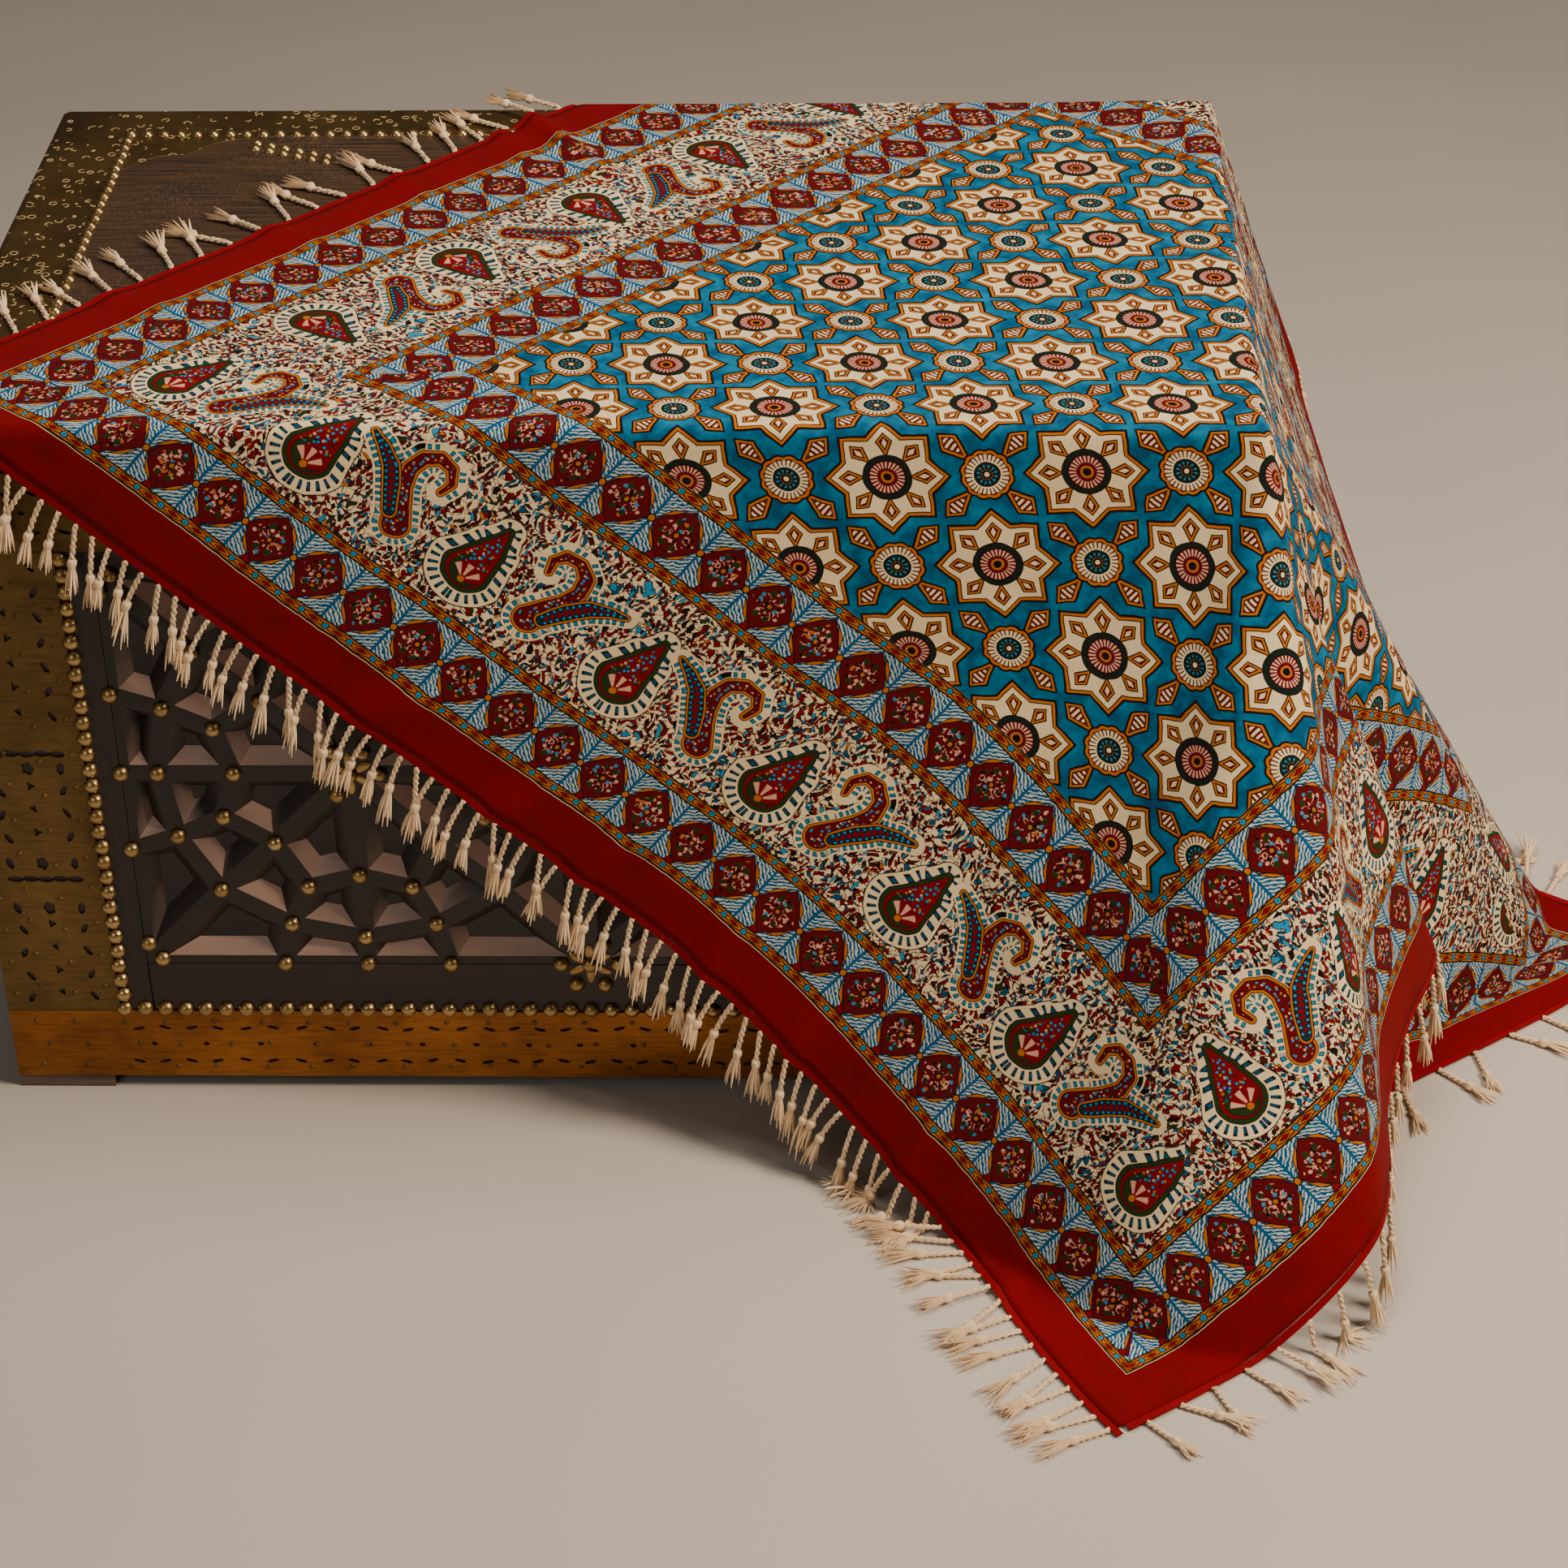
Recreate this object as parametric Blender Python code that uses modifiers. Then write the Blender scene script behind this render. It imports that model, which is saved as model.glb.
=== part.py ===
"""Block-printed kalamkari cloth with a knotted fringe, laid cornerwise over a low wooden chest.

The chest is a plain carcass of boards with a lid, four feet and brass bands on its front.
The cloth lies flat on the lid. Its front corner runs down over the front edge to the floor,
its right corner runs down the right side to the floor, and the cloth between them gathers into
folds that fan out from the lid's front right corner. The fringe is one narrow strip of hem for
each stretch of the edge, with its twisted strands fused to it.

Lengths are in metres and +Z is up. The model is first laid out with the lid's front right corner
above the floor point (0, 0), +X to the right and +Y to the back, and is moved at the end so that
the origin is the middle of its footprint.
"""

import math
from collections import namedtuple

import bmesh
import bpy
import numpy as np
from mathutils import Vector

OBJECT_NAME = "kalamkari_cloth_on_chest"

# Chest
CHEST_WIDTH = 0.918
CHEST_DEPTH = 0.550
CHEST_HEIGHT = 0.569
BOARD = 0.022
LID_THICKNESS = 0.034
FOOT_HEIGHT = 0.012
FOOT_SIDE = 0.073
BAND_WIDTH = 0.086
RAIL_BAND_WIDTH = 0.062
BAND_THICKNESS = 0.0015
EDGE_ROUND = 0.007
SEAT_GAP = 0.0003

# Cloth. Its print repeats in stars, PITCH_A apart one way and PITCH_B the other.
PITCH_A = 0.100
PITCH_B = 0.089
FIELD_A = 6.40
FIELD_B = 6.80
BORDER = 0.294
CLOTH_THICKNESS = 0.002
STRIP_WIDTH = 0.006
STRIP_GAP = 0.0007
EDGE_CLEARANCE = 0.004
WEFT_ANGLE = math.radians(-40.15)
WARP_ANGLE = math.radians(48.2)
CORNER_IN_FIELD_A = 4.57
CORNER_IN_FIELD_B = 3.20

# Fringe
STRAND_HALF = 0.0013
KNOT_HALF = 0.0026
TAIL_HALF = 0.0022
TWIST_LENGTH = 0.025
TAIL_LENGTH = 0.021
OUTWARD_SHARE = 0.35
SWAY = 0.25
LOW_HEM = 0.010
BEND_SPACE = 0.0006
PINCH = 0.25
PINCH_REACH = 0.010
# Where the edge turns sharply, the strip stops this far short of the turn. One stretch also has
# barer ends and a narrower strip, because the cloth is gathered there.
TURN_GAPS = {"front": SEAT_GAP, "right": 0.006, "back": 0.006, "left": 0.006}
BARE_ENDS = {"fringe_back_2": (0.016, 0.036)}
NARROW_STRIP = {"fringe_back_2": 0.0035}
DENSE_SPACING = 0.0138
OPEN_SPACING = 0.0275

# The folds fan out from the lid's corner. Each row is one straight line of the cloth that runs
# down from that corner: its angle on the flat cloth, counted from the front edge, and the
# direction it takes on the chest as right, back and down shares. lay turns the stretch that
# runs on along the floor.
Fold = namedtuple("Fold", "flat_deg right back down lay_deg")
FOLDS = [
    Fold(0, -1.000, 0.000, 0.000, 0),
    Fold(15, -0.966, -0.026, 0.258, 0),
    Fold(30, -0.866, -0.045, 0.498, 0),
    Fold(45, -0.708, -0.068, 0.703, 0),
    Fold(60, -0.510, -0.165, 0.844, 0),
    Fold(75, -0.300, -0.300, 0.905, 0),
    Fold(90, -0.090, -0.450, 0.890, 0),
    Fold(105, 0.150, -0.430, 0.890, 0),
    Fold(120, 0.220, -0.187, 0.957, 0),
    Fold(129, 0.287, -0.045, 0.957, 0),
    Fold(134, 0.328, 0.034, 0.944, 0),
    Fold(137.5, 0.318, 0.068, 0.946, 0),
    Fold(141, 0.275, 0.030, 0.960, 0),
    Fold(148, 0.215, -0.075, 0.972, 0),
    Fold(155, 0.125, -0.190, 0.974, 0),
    Fold(159, 0.070, -0.225, 0.971, 0),
    Fold(163, 0.060, -0.180, 0.980, 0),
    Fold(173, 0.155, -0.035, 0.983, -20),
    Fold(180, 0.245, 0.090, 0.965, -25),
    Fold(187, 0.340, 0.195, 0.925, -18),
    Fold(195, 0.410, 0.280, 0.870, -6),
    Fold(210, 0.360, 0.490, 0.795, 0),
    Fold(225, 0.255, 0.690, 0.677, 0),
    Fold(240, 0.170, 0.855, 0.490, 0),
    Fold(255, 0.085, 0.962, 0.258, 0),
    Fold(270, 0.000, 1.000, 0.000, 0),
]
# Close to the corner there are no folds yet: they start and reach their full depth this far out.
FOLD_START = 0.06
FOLD_REACH = 0.32
FOLD_ROUND_DEG = 2.5
CALM_FROM_DEG = 112.0
CALM_TO_DEG = 200.0

# Behind the chest the cloth leans out and waves a little, and a shallow fold turns its corner.
BACK_LEAN = 0.05
BACK_WAVE = 0.05
WAVE_RADIUS = 0.055
CORNER_FOLD_OUT = 0.22
CORNER_FOLD_WAY = (0.30, 1.00, 0.00)

LID_TOP = CHEST_HEIGHT
MID_OVER_LID = SEAT_GAP + CLOTH_THICKNESS / 2
MID_TOP = LID_TOP + MID_OVER_LID
MID_FLOOR = SEAT_GAP + CLOTH_THICKNESS / 2
DROP = MID_TOP - MID_FLOOR
FLAT_BACK = CHEST_DEPTH + 2 * EDGE_CLEARANCE
FLAT_LEFT = -(CHEST_WIDTH + 2 * EDGE_CLEARANCE)


def unit(vector):
    """The vector or vectors at length one."""
    vector = np.asarray(vector, float)
    return vector / np.maximum(np.linalg.norm(vector, axis=-1, keepdims=True), 1e-9)


def smooth_step(value):
    value = np.clip(value, 0.0, 1.0)
    return value * value * (3 - 2 * value)


def spline(at, knots, values):
    """A smooth curve through a table's rows, read at the given places."""
    knots = np.asarray(knots, float)
    values = np.asarray(values, float)
    slopes = np.gradient(values, knots, axis=0)
    row = np.clip(np.searchsorted(knots, at, side="right") - 1, 0, len(knots) - 2)
    span = (knots[row + 1] - knots[row])[:, None]
    s = ((at - knots[row]) / (knots[row + 1] - knots[row]))[:, None]
    rise = (1 + 2 * s) * (1 - s) ** 2 * values[row] + s * s * (3 - 2 * s) * values[row + 1]
    bend = s * (1 - s) ** 2 * slopes[row] - s * s * (1 - s) * slopes[row + 1]
    return rise + span * bend


FLAT_DEGS = [row.flat_deg for row in FOLDS]
DIRECTIONS = [(row.right, row.back, -row.down) for row in FOLDS]
LAYS = [(row.lay_deg,) for row in FOLDS]


def fold_direction(flat_deg, reach):
    """Where the cloth's line at this flat angle points, at each distance from the corner."""
    folded = unit(spline(flat_deg, FLAT_DEGS, DIRECTIONS))
    before = unit(spline(np.clip(flat_deg - FOLD_ROUND_DEG, 0, 270), FLAT_DEGS, DIRECTIONS))
    after = unit(spline(np.clip(flat_deg + FOLD_ROUND_DEG, 0, 270), FLAT_DEGS, DIRECTIONS))
    ends = unit(spline(np.array([CALM_FROM_DEG, CALM_TO_DEG]), FLAT_DEGS, DIRECTIONS))
    share = np.clip((flat_deg - CALM_FROM_DEG) / (CALM_TO_DEG - CALM_FROM_DEG), 0, 1)[:, None]
    calm = unit(ends[0] * (1 - share) + ends[1] * share)
    inside = (flat_deg > CALM_FROM_DEG) & (flat_deg < CALM_TO_DEG)
    folded = np.where(inside[:, None], (before + folded + after) / 3, folded)
    depth = smooth_step((reach - FOLD_START) / (FOLD_REACH - FOLD_START))
    depth = np.where(inside, depth, 1.0)[:, None]
    return unit(calm * (1 - depth) + folded * depth)


def hang_from_corner(flat):
    """Flat cloth right of the corner or in front of it, as it hangs in folds to the floor."""
    reach = np.hypot(flat[:, 0], flat[:, 1])
    flat_deg = np.degrees(np.arctan2(-flat[:, 1], -flat[:, 0])) % 360
    flat_deg = np.where(flat_deg > 270, np.where(flat_deg > 315, 0.0, 270.0), flat_deg)
    along = fold_direction(flat_deg, reach)
    lay = np.radians(spline(flat_deg, FLAT_DEGS, LAYS)[:, 0])
    fall = np.maximum(-along[:, 2], 1e-4)
    to_floor = DROP / fall
    air = np.minimum(reach, to_floor)
    out = unit(along[:, :2])
    turned = np.stack([out[:, 0] * np.cos(lay) - out[:, 1] * np.sin(lay),
                       out[:, 0] * np.sin(lay) + out[:, 1] * np.cos(lay)], axis=1)
    place = along * air[:, None]
    place[:, :2] += turned * np.maximum(reach - to_floor, 0)[:, None]
    return place


def drape(flat):
    """Place points of the flat cloth, measured from the lid's front right corner."""
    flat = np.atleast_2d(np.asarray(flat, float))
    x, y = flat[:, 0], flat[:, 1]
    place = np.stack([x, y, np.zeros(len(x))], axis=1)
    over_back = np.maximum(y - FLAT_BACK, 0)
    over_left = np.maximum(FLAT_LEFT - x, 0)
    place[:, 0] = np.maximum(x, FLAT_LEFT)
    wave = BACK_WAVE * (1 - np.cos(x / WAVE_RADIUS)) * over_back
    place[:, 1] = np.minimum(y, FLAT_BACK) + BACK_LEAN * over_back + wave
    place[:, 2] = -over_back - over_left

    hanging = (y < 0) | (x > 0)
    place[hanging] = hang_from_corner(flat[hanging])

    corner = (x > 0) & (y > FLAT_BACK)
    if corner.any():
        turn = flat[corner] - np.array([0, FLAT_BACK])
        reach = np.hypot(turn[:, 0], turn[:, 1])
        angle = np.arctan2(turn[:, 1], turn[:, 0])[:, None]
        zero = np.zeros(len(reach))
        post = np.array([0, FLAT_BACK, 0])
        side = hang_from_corner(np.stack([reach, zero + FLAT_BACK], axis=1)) - post
        back = np.stack([zero, BACK_LEAN * reach, -reach], axis=1)
        bulge = np.array(CORNER_FOLD_WAY) * CORNER_FOLD_OUT * reach[:, None]
        fold = side * np.cos(angle) ** 2 + back * np.sin(angle) ** 2 + bulge * np.sin(2 * angle)
        place[corner] = post + unit(fold) * reach[:, None]
    return place + np.array([EDGE_CLEARANCE, -EDGE_CLEARANCE, MID_TOP])


def print_to_flat(a, b):
    """A point of the print, counted in metres along its two sides from the field's left corner."""
    da = a - CORNER_IN_FIELD_A * PITCH_A
    db = b - CORNER_IN_FIELD_B * PITCH_B
    x = da * math.cos(WEFT_ANGLE) + db * math.cos(WARP_ANGLE)
    y = da * math.sin(WEFT_ANGLE) + db * math.sin(WARP_ANGLE)
    return np.array([x, y])


A_LOW, A_HIGH = -BORDER, FIELD_A * PITCH_A + BORDER
B_LOW, B_HIGH = -BORDER, FIELD_B * PITCH_B + BORDER


def cut_limit(direction, inset):
    """How far a line of the flat cloth runs from the corner before it meets the hem."""
    limits = []
    weft = np.array([math.cos(WEFT_ANGLE), math.sin(WEFT_ANGLE)])
    warp = np.array([math.cos(WARP_ANGLE), math.sin(WARP_ANGLE)])
    run_a, run_b = np.linalg.solve(np.stack([weft, warp], axis=1), direction)
    for run, start, low, high in (
        (run_a, CORNER_IN_FIELD_A * PITCH_A, A_LOW, A_HIGH),
        (run_b, CORNER_IN_FIELD_B * PITCH_B, B_LOW, B_HIGH),
    ):
        if run > 1e-9:
            limits.append((high - inset - start) / run)
        if run < -1e-9:
            limits.append((low + inset - start) / run)
    return min(limits)


def material(name, color, roughness, metallic=0.0):
    made = bpy.data.materials.new(name)
    made.use_nodes = True
    shader = made.node_tree.nodes["Principled BSDF"]
    shader.inputs["Base Color"].default_value = (*color, 1.0)
    shader.inputs["Roughness"].default_value = roughness
    shader.inputs["Metallic"].default_value = metallic
    return made


def add_box(name, low, high, surface, round_by=0.0):
    """A board or plate between two corners, with its edges rounded over."""
    low, high = Vector(low), Vector(high)
    bpy.ops.mesh.primitive_cube_add(size=1, location=(low + high) / 2)
    box = bpy.context.object
    box.name = name
    box.scale = high - low
    bpy.ops.object.transform_apply(location=False, rotation=False, scale=True)
    box.data.materials.append(surface)
    if round_by:
        bevel = box.modifiers.new("rounded edges", "BEVEL")
        bevel.width = round_by
        bevel.segments = 2
        bevel.limit_method = "ANGLE"
    keep(box)
    return box


def keep(made):
    """Put a finished piece in the object's own collection."""
    for holder in list(made.users_collection):
        holder.objects.unlink(made)
    parts.objects.link(made)


def mesh_piece(name, points, faces, surface):
    mesh = bpy.data.meshes.new(name)
    mesh.from_pydata([tuple(map(float, point)) for point in points], [], faces)
    piece = bpy.data.objects.new(name, mesh)
    piece.data.materials.append(surface)
    parts.objects.link(piece)
    return piece


def build_chest(wood, brass):
    """Six boards, four feet and the four brass bands of the front."""
    left, right, back = -CHEST_WIDTH, 0.0, CHEST_DEPTH
    under = FOOT_HEIGHT
    body_top = CHEST_HEIGHT - LID_THICKNESS - SEAT_GAP
    inner_low = under + BOARD + SEAT_GAP
    gap = SEAT_GAP
    add_box("chest_lid", (left, 0, CHEST_HEIGHT - LID_THICKNESS), (right, back, CHEST_HEIGHT),
            wood, EDGE_ROUND)
    add_box("chest_base", (left, 0, under), (right, back, under + BOARD), wood)
    add_box("chest_front", (left, 0, inner_low), (right, BOARD, body_top), wood)
    add_box("chest_back", (left, back - BOARD, inner_low), (right, back, body_top), wood)
    add_box("chest_left", (left, BOARD + gap, inner_low),
            (left + BOARD, back - BOARD - gap, body_top), wood)
    add_box("chest_right", (right - BOARD, BOARD + gap, inner_low),
            (right, back - BOARD - gap, body_top), wood)
    for side, x in (("left", left), ("right", right - FOOT_SIDE)):
        for end, y in (("front", 0.0), ("back", back - FOOT_SIDE)):
            add_box(f"foot_{end}_{side}", (x, y, 0), (x + FOOT_SIDE, y + FOOT_SIDE, under - gap), wood)
    face = -gap
    face_out = face - BAND_THICKNESS
    stile_low = under + RAIL_BAND_WIDTH
    band_top = body_top - RAIL_BAND_WIDTH
    add_box("band_bottom", (left, face_out, under), (right, face, stile_low - gap), brass)
    add_box("band_top", (left, face_out, band_top + gap), (right, face, body_top), brass)
    add_box("band_left", (left, face_out, stile_low), (left + BAND_WIDTH, face, band_top), brass)
    add_box("band_right", (right - BAND_WIDTH, face_out, stile_low), (right, face, band_top), brass)


# The cloth is a fan of lines from the lid's corner, closer together where it is folded.
FanStretch = namedtuple("FanStretch", "start_deg end_deg step_deg")
FAN = [
    FanStretch(0, 60, 6.0),
    FanStretch(60, 112, 4.0),
    FanStretch(112, 130, 2.0),
    FanStretch(130, 170, 1.0),
    FanStretch(170, 200, 2.0),
    FanStretch(200, 256, 4.0),
    FanStretch(256, 270, 2.0),
    FanStretch(270, 282, 3.0),
    FanStretch(282, 360, 7.8),
]
SHARES_TO_BREAK = [0.05, 0.13, 0.22, 0.29, 0.36, 0.44, 0.55, 0.70, 0.85, 1.0]
SHARES_PAST_BREAK = [0.3, 1.0]


def hem_line(name, inset):
    """A function of the distance along one side of the cloth, giving the flat point on its hem."""
    if name == "front":
        return lambda at: print_to_flat(at, B_LOW + inset), A_LOW, A_HIGH
    if name == "right":
        return lambda at: print_to_flat(A_HIGH - inset, at), B_LOW, B_HIGH
    if name == "back":
        return lambda at: print_to_flat(at, B_HIGH - inset), A_LOW, A_HIGH
    return lambda at: print_to_flat(A_LOW + inset, at), B_LOW, B_HIGH


def crossings(name, inset):
    """Where one side of the cloth crosses the lid's edges, as distances along that side."""
    point, low, high = hem_line(name, inset)
    start, end = point(low), point(high)
    found = []
    for axis, level, other_low, other_high in (
        (0, FLAT_LEFT, 0.0, FLAT_BACK),
        (1, 0.0, FLAT_LEFT, 0.0),
        (1, FLAT_BACK, FLAT_LEFT, math.inf),
        (0, 0.0, FLAT_BACK, math.inf),
    ):
        share = (level - start[axis]) / (end[axis] - start[axis])
        if 0 < share < 1:
            met = start + share * (end - start)
            if other_low <= met[1 - axis] <= other_high:
                found.append(low + share * (high - low))
    return sorted(found)


def fan_angles(inset):
    angles = {0.0, 270.0}
    for stretch in FAN:
        steps = round((stretch.end_deg - stretch.start_deg) / stretch.step_deg)
        angles.update(np.linspace(stretch.start_deg, stretch.end_deg, steps, endpoint=False).tolist())
    exact = []
    for name in ("front", "right", "back", "left"):
        point, low, high = hem_line(name, inset)
        for at in [low + inset, high - inset, *crossings(name, inset)]:
            x, y = point(at)
            exact.append(math.degrees(math.atan2(-y, -x)) % 360)
    kept = [a for a in angles if all(abs(a - b) > 0.8 or a in (0.0, 270.0) for b in exact)]
    return sorted(set(kept + [a for a in exact if 0.5 < a < 359.5 and abs(a - 270) > 0.5]))


def break_distance(flat_deg, direction):
    """How far a line of the cloth runs before it goes over the lid's far edges or onto the floor."""
    limits = []
    if direction[1] > 1e-6:
        limits.append(FLAT_BACK / direction[1])
    if direction[0] < -1e-6:
        limits.append(FLAT_LEFT / direction[0])
    if 0 < flat_deg < 270:
        along = fold_direction(np.array([flat_deg]), np.array([FOLD_REACH]))[0]
        limits.append(DROP / max(-along[2], 1e-3))
    return min(limits, default=math.inf)


def build_cloth(surface):
    inset = STRIP_WIDTH + STRIP_GAP
    angles = fan_angles(inset)
    flat = [np.zeros(2)]
    for angle in angles:
        turn = math.radians(angle)
        direction = np.array([-math.cos(turn), -math.sin(turn)])
        hem = cut_limit(direction, inset)
        bend = min(break_distance(angle, direction), hem)
        reaches = [share * bend for share in SHARES_TO_BREAK]
        reaches += [bend + share * (hem - bend) for share in SHARES_PAST_BREAK]
        flat += [direction * reach for reach in reaches]
    rings = len(SHARES_TO_BREAK) + len(SHARES_PAST_BREAK)
    count = len(angles)
    faces = []
    for k in range(count):
        here, beside = 1 + k * rings, 1 + (k + 1) % count * rings
        faces.append((0, here, beside))
        faces += [(here + r, here + r + 1, beside + r + 1, beside + r) for r in range(rings - 1)]
    cloth = mesh_piece("cloth", drape(np.array(flat)), faces, surface)
    sheet = bmesh.new()
    sheet.from_mesh(cloth.data)
    bmesh.ops.remove_doubles(sheet, verts=sheet.verts, dist=0.0001)
    bmesh.ops.dissolve_degenerate(sheet, edges=sheet.edges, dist=0.00005)
    bmesh.ops.triangulate(sheet, faces=[f for f in sheet.faces if len(f.verts) > 3])
    bmesh.ops.recalc_face_normals(sheet, faces=sheet.faces)
    sheet.to_mesh(cloth.data)
    sheet.free()
    thick = cloth.modifiers.new("cloth thickness", "SOLIDIFY")
    thick.thickness = CLOTH_THICKNESS
    thick.offset = 0.0
    cloth.data.shade_smooth()


def wobble(number, seed):
    """An uneven but repeatable value from -1 to 1."""
    value = math.sin(number * 12.9898 + seed * 78.233) * 43758.5453
    return 2 * (value - math.floor(value)) - 1


def support(x, y):
    """The height of what a strand can lie on at this place."""
    on_lid = -CHEST_WIDTH <= x <= 0 and 0 <= y <= CHEST_DEPTH
    return (CHEST_HEIGHT if on_lid else 0.0) + SEAT_GAP


def reach_on(start, way, length, half):
    """The next point of a strand: it falls, and lies level on the lid or the floor."""
    end = start + way * length
    lowest = support(end[0], end[1]) + half
    if start[2] > CHEST_HEIGHT and lowest < CHEST_HEIGHT and end[2] < CHEST_HEIGHT + half:
        lowest = CHEST_HEIGHT + half
    if end[2] >= lowest:
        return end
    drop = start[2] - lowest
    flat = np.array([way[0], way[1], 0.0])
    level = unit(flat) * math.sqrt(max(length**2 - drop**2, 0.0))
    return np.array([start[0] + level[0], start[1] + level[1], lowest])


def columns_on(side):
    """Where the cloth's fan of lines meets one side of it, as distances along that side."""
    inset = STRIP_WIDTH + STRIP_GAP
    point, low, high = hem_line(side, inset)
    start, way = point(low), point(high) - point(low)
    found = []
    for angle in fan_angles(inset):
        turn = math.radians(angle)
        ray = np.array([-math.cos(turn), -math.sin(turn)])
        reach, share = np.linalg.solve(np.stack([ray, -way], axis=1), start)
        if reach > 0 and -1e-6 <= share <= 1 + 1e-6:
            found.append(low + share * (high - low))
    return sorted(found)


def between(at, known, places):
    """Points on the straight runs between known places."""
    return np.stack([np.interp(at, known, places[:, axis]) for axis in range(3)], axis=1)


def build_fringe(name, side, start, end, spacing, surface):
    """One stretch of hem strip with its strands: each is a twisted cord, a knot and a tail."""
    outer, low, high = hem_line(side, 0.0)
    width = NARROW_STRIP.get(name, STRIP_WIDTH)
    inner, _, _ = hem_line(side, width)
    bends = [low, high, *columns_on(side), *crossings(side, 0.0), *crossings(side, width)]
    bends = sorted(bends)
    count = max(int((end - start) / spacing), 1)
    middles = [start + (k + 0.5) * (end - start) / count for k in range(count)]
    roots = []
    for middle in middles:
        near = min(bends, key=lambda at: abs(at - middle))
        if abs(near - middle) < STRAND_HALF + BEND_SPACE:
            middle = near + math.copysign(STRAND_HALF + BEND_SPACE, middle - near)
        roots.append(middle)
    marks = [(start, -1), (end, -1)]
    marks += [(at, -1) for at in bends if start + BEND_SPACE < at < end - BEND_SPACE]
    for k, middle in enumerate(roots):
        marks += [(middle - STRAND_HALF, k), (middle + STRAND_HALF, k)]
    marks.sort()
    at = np.array([mark[0] for mark in marks])
    rim = between(at, bends, drape([outer(bend) for bend in bends]))
    root = between(at, bends, drape([inner(bend) for bend in bends]))
    tangent = unit(np.gradient(rim, axis=0))
    out = unit(rim - root)
    normal = unit(np.cross(tangent, out))
    pinch = np.ones((len(at), 1))
    for turn in crossings(side, STRIP_WIDTH / 2):
        pinch[np.abs(at - turn) < PINCH_REACH] = PINCH
    half = normal * pinch * CLOTH_THICKNESS / 2
    points = []
    for k in range(len(at)):
        points += [root[k] + half[k], rim[k] + half[k], rim[k] - half[k], root[k] - half[k]]
    faces = [(3, 2, 1, 0)]
    for k in range(len(at) - 1):
        a, b = 4 * k, 4 * k + 4
        faces += [(a, a + 1, b + 1, b), (a + 2, a + 3, b + 3, b + 2), (a + 3, a, b, b + 3)]
        if marks[k][1] < 0 or marks[k][1] != marks[k + 1][1]:
            faces.append((a + 1, a + 2, b + 2, b + 1))
            continue
        number = marks[k][1]
        begin = (rim[k] + rim[k + 1]) / 2
        sway = wobble(number, len(name)) * SWAY * tangent[k]
        lean = unit(out[k] + out[k + 1] + sway)
        way = unit(lean * OUTWARD_SHARE + np.array([0, 0, -1.0]))
        if begin[2] < support(begin[0], begin[1]) + LOW_HEM or begin[2] > CHEST_HEIGHT:
            way = unit(lean * np.array([1, 1, 0.0]))
        knot = reach_on(begin, way, TWIST_LENGTH, KNOT_HALF)
        tail = reach_on(knot, way, TAIL_LENGTH, TAIL_HALF)
        ring = [a + 1, b + 1, b + 2, a + 2]
        for centre, back, size in ((knot, begin, KNOT_HALF), (tail, knot, TAIL_HALF)):
            along = unit(centre - back)
            across = tangent[k]
            if centre[2] < support(centre[0], centre[1]) + 2 * size:
                along = unit(along * np.array([1, 1, 0.0]))
                across = tangent[k] * np.array([1, 1, 0.0])
            across = unit(across - along * np.dot(along, across))
            up = np.cross(across, along)
            up *= 1.0 if np.dot(up, half[k]) > 0 else -1.0
            first = len(points)
            for u, v in ((-1, 1), (1, 1), (1, -1), (-1, -1)):
                points.append(centre + (across * u + up * v) * size)
            faces += [(ring[j], ring[(j + 1) % 4], first + (j + 1) % 4, first + j) for j in range(4)]
            ring = [first + j for j in range(4)]
        faces.append(tuple(ring))
    last = 4 * len(at) - 4
    faces.append((last, last + 1, last + 2, last + 3))
    piece = mesh_piece(name, points, faces, surface)
    shell = bmesh.new()
    shell.from_mesh(piece.data)
    bmesh.ops.recalc_face_normals(shell, faces=shell.faces)
    shell.to_mesh(piece.data)
    shell.free()


# Stretches of the edge that are bent too far to be one strip, as distances along their side.
Split = namedtuple("Split", "side at")
SPLITS = [
    Split("front", 0.42), Split("front", 0.70),
    Split("right", 0.02), Split("right", 0.266), Split("right", 0.452),
    Split("back", 0.62),
]


def build_fringes(surface):
    trim = STRIP_WIDTH + SEAT_GAP
    for side, spacing in (
        ("front", DENSE_SPACING), ("right", OPEN_SPACING), ("back", OPEN_SPACING), ("left", OPEN_SPACING)
    ):
        _, low, high = hem_line(side, 0.0)
        if side in ("right", "left"):
            low, high = low + trim, high - trim
        cuts = sorted(crossings(side, STRIP_WIDTH / 2) + [row.at for row in SPLITS if row.side == side])
        ends = [low] + cuts + [high]
        apart = TURN_GAPS[side]
        for k in range(len(ends) - 1):
            name = f"fringe_{side}_{k + 1}"
            at_start, at_end = BARE_ENDS.get(name, (apart, apart))
            build_fringe(name, side, ends[k] + at_start, ends[k + 1] - at_end, spacing, surface)


def centre_on_footprint():
    """Move everything so that the origin is the middle of the footprint, on the floor."""
    bpy.context.view_layer.update()
    graph = bpy.context.evaluated_depsgraph_get()
    corners = []
    for piece in parts.objects:
        shape = piece.evaluated_get(graph)
        corners += [shape.matrix_world @ Vector(corner) for corner in shape.bound_box]
    low = [min(corner[axis] for corner in corners) for axis in range(3)]
    high = [max(corner[axis] for corner in corners) for axis in range(3)]
    move = Vector((-(low[0] + high[0]) / 2, -(low[1] + high[1]) / 2, -low[2]))
    for piece in parts.objects:
        piece.location += move
    print("moved by", [round(value, 5) for value in move])
    print("footprint", [round(high[axis] - low[axis], 4) for axis in range(3)])


for old in list(bpy.data.objects):
    bpy.data.objects.remove(old, do_unlink=True)
parts = bpy.data.collections.new(OBJECT_NAME)
bpy.context.scene.collection.children.link(parts)

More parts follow.
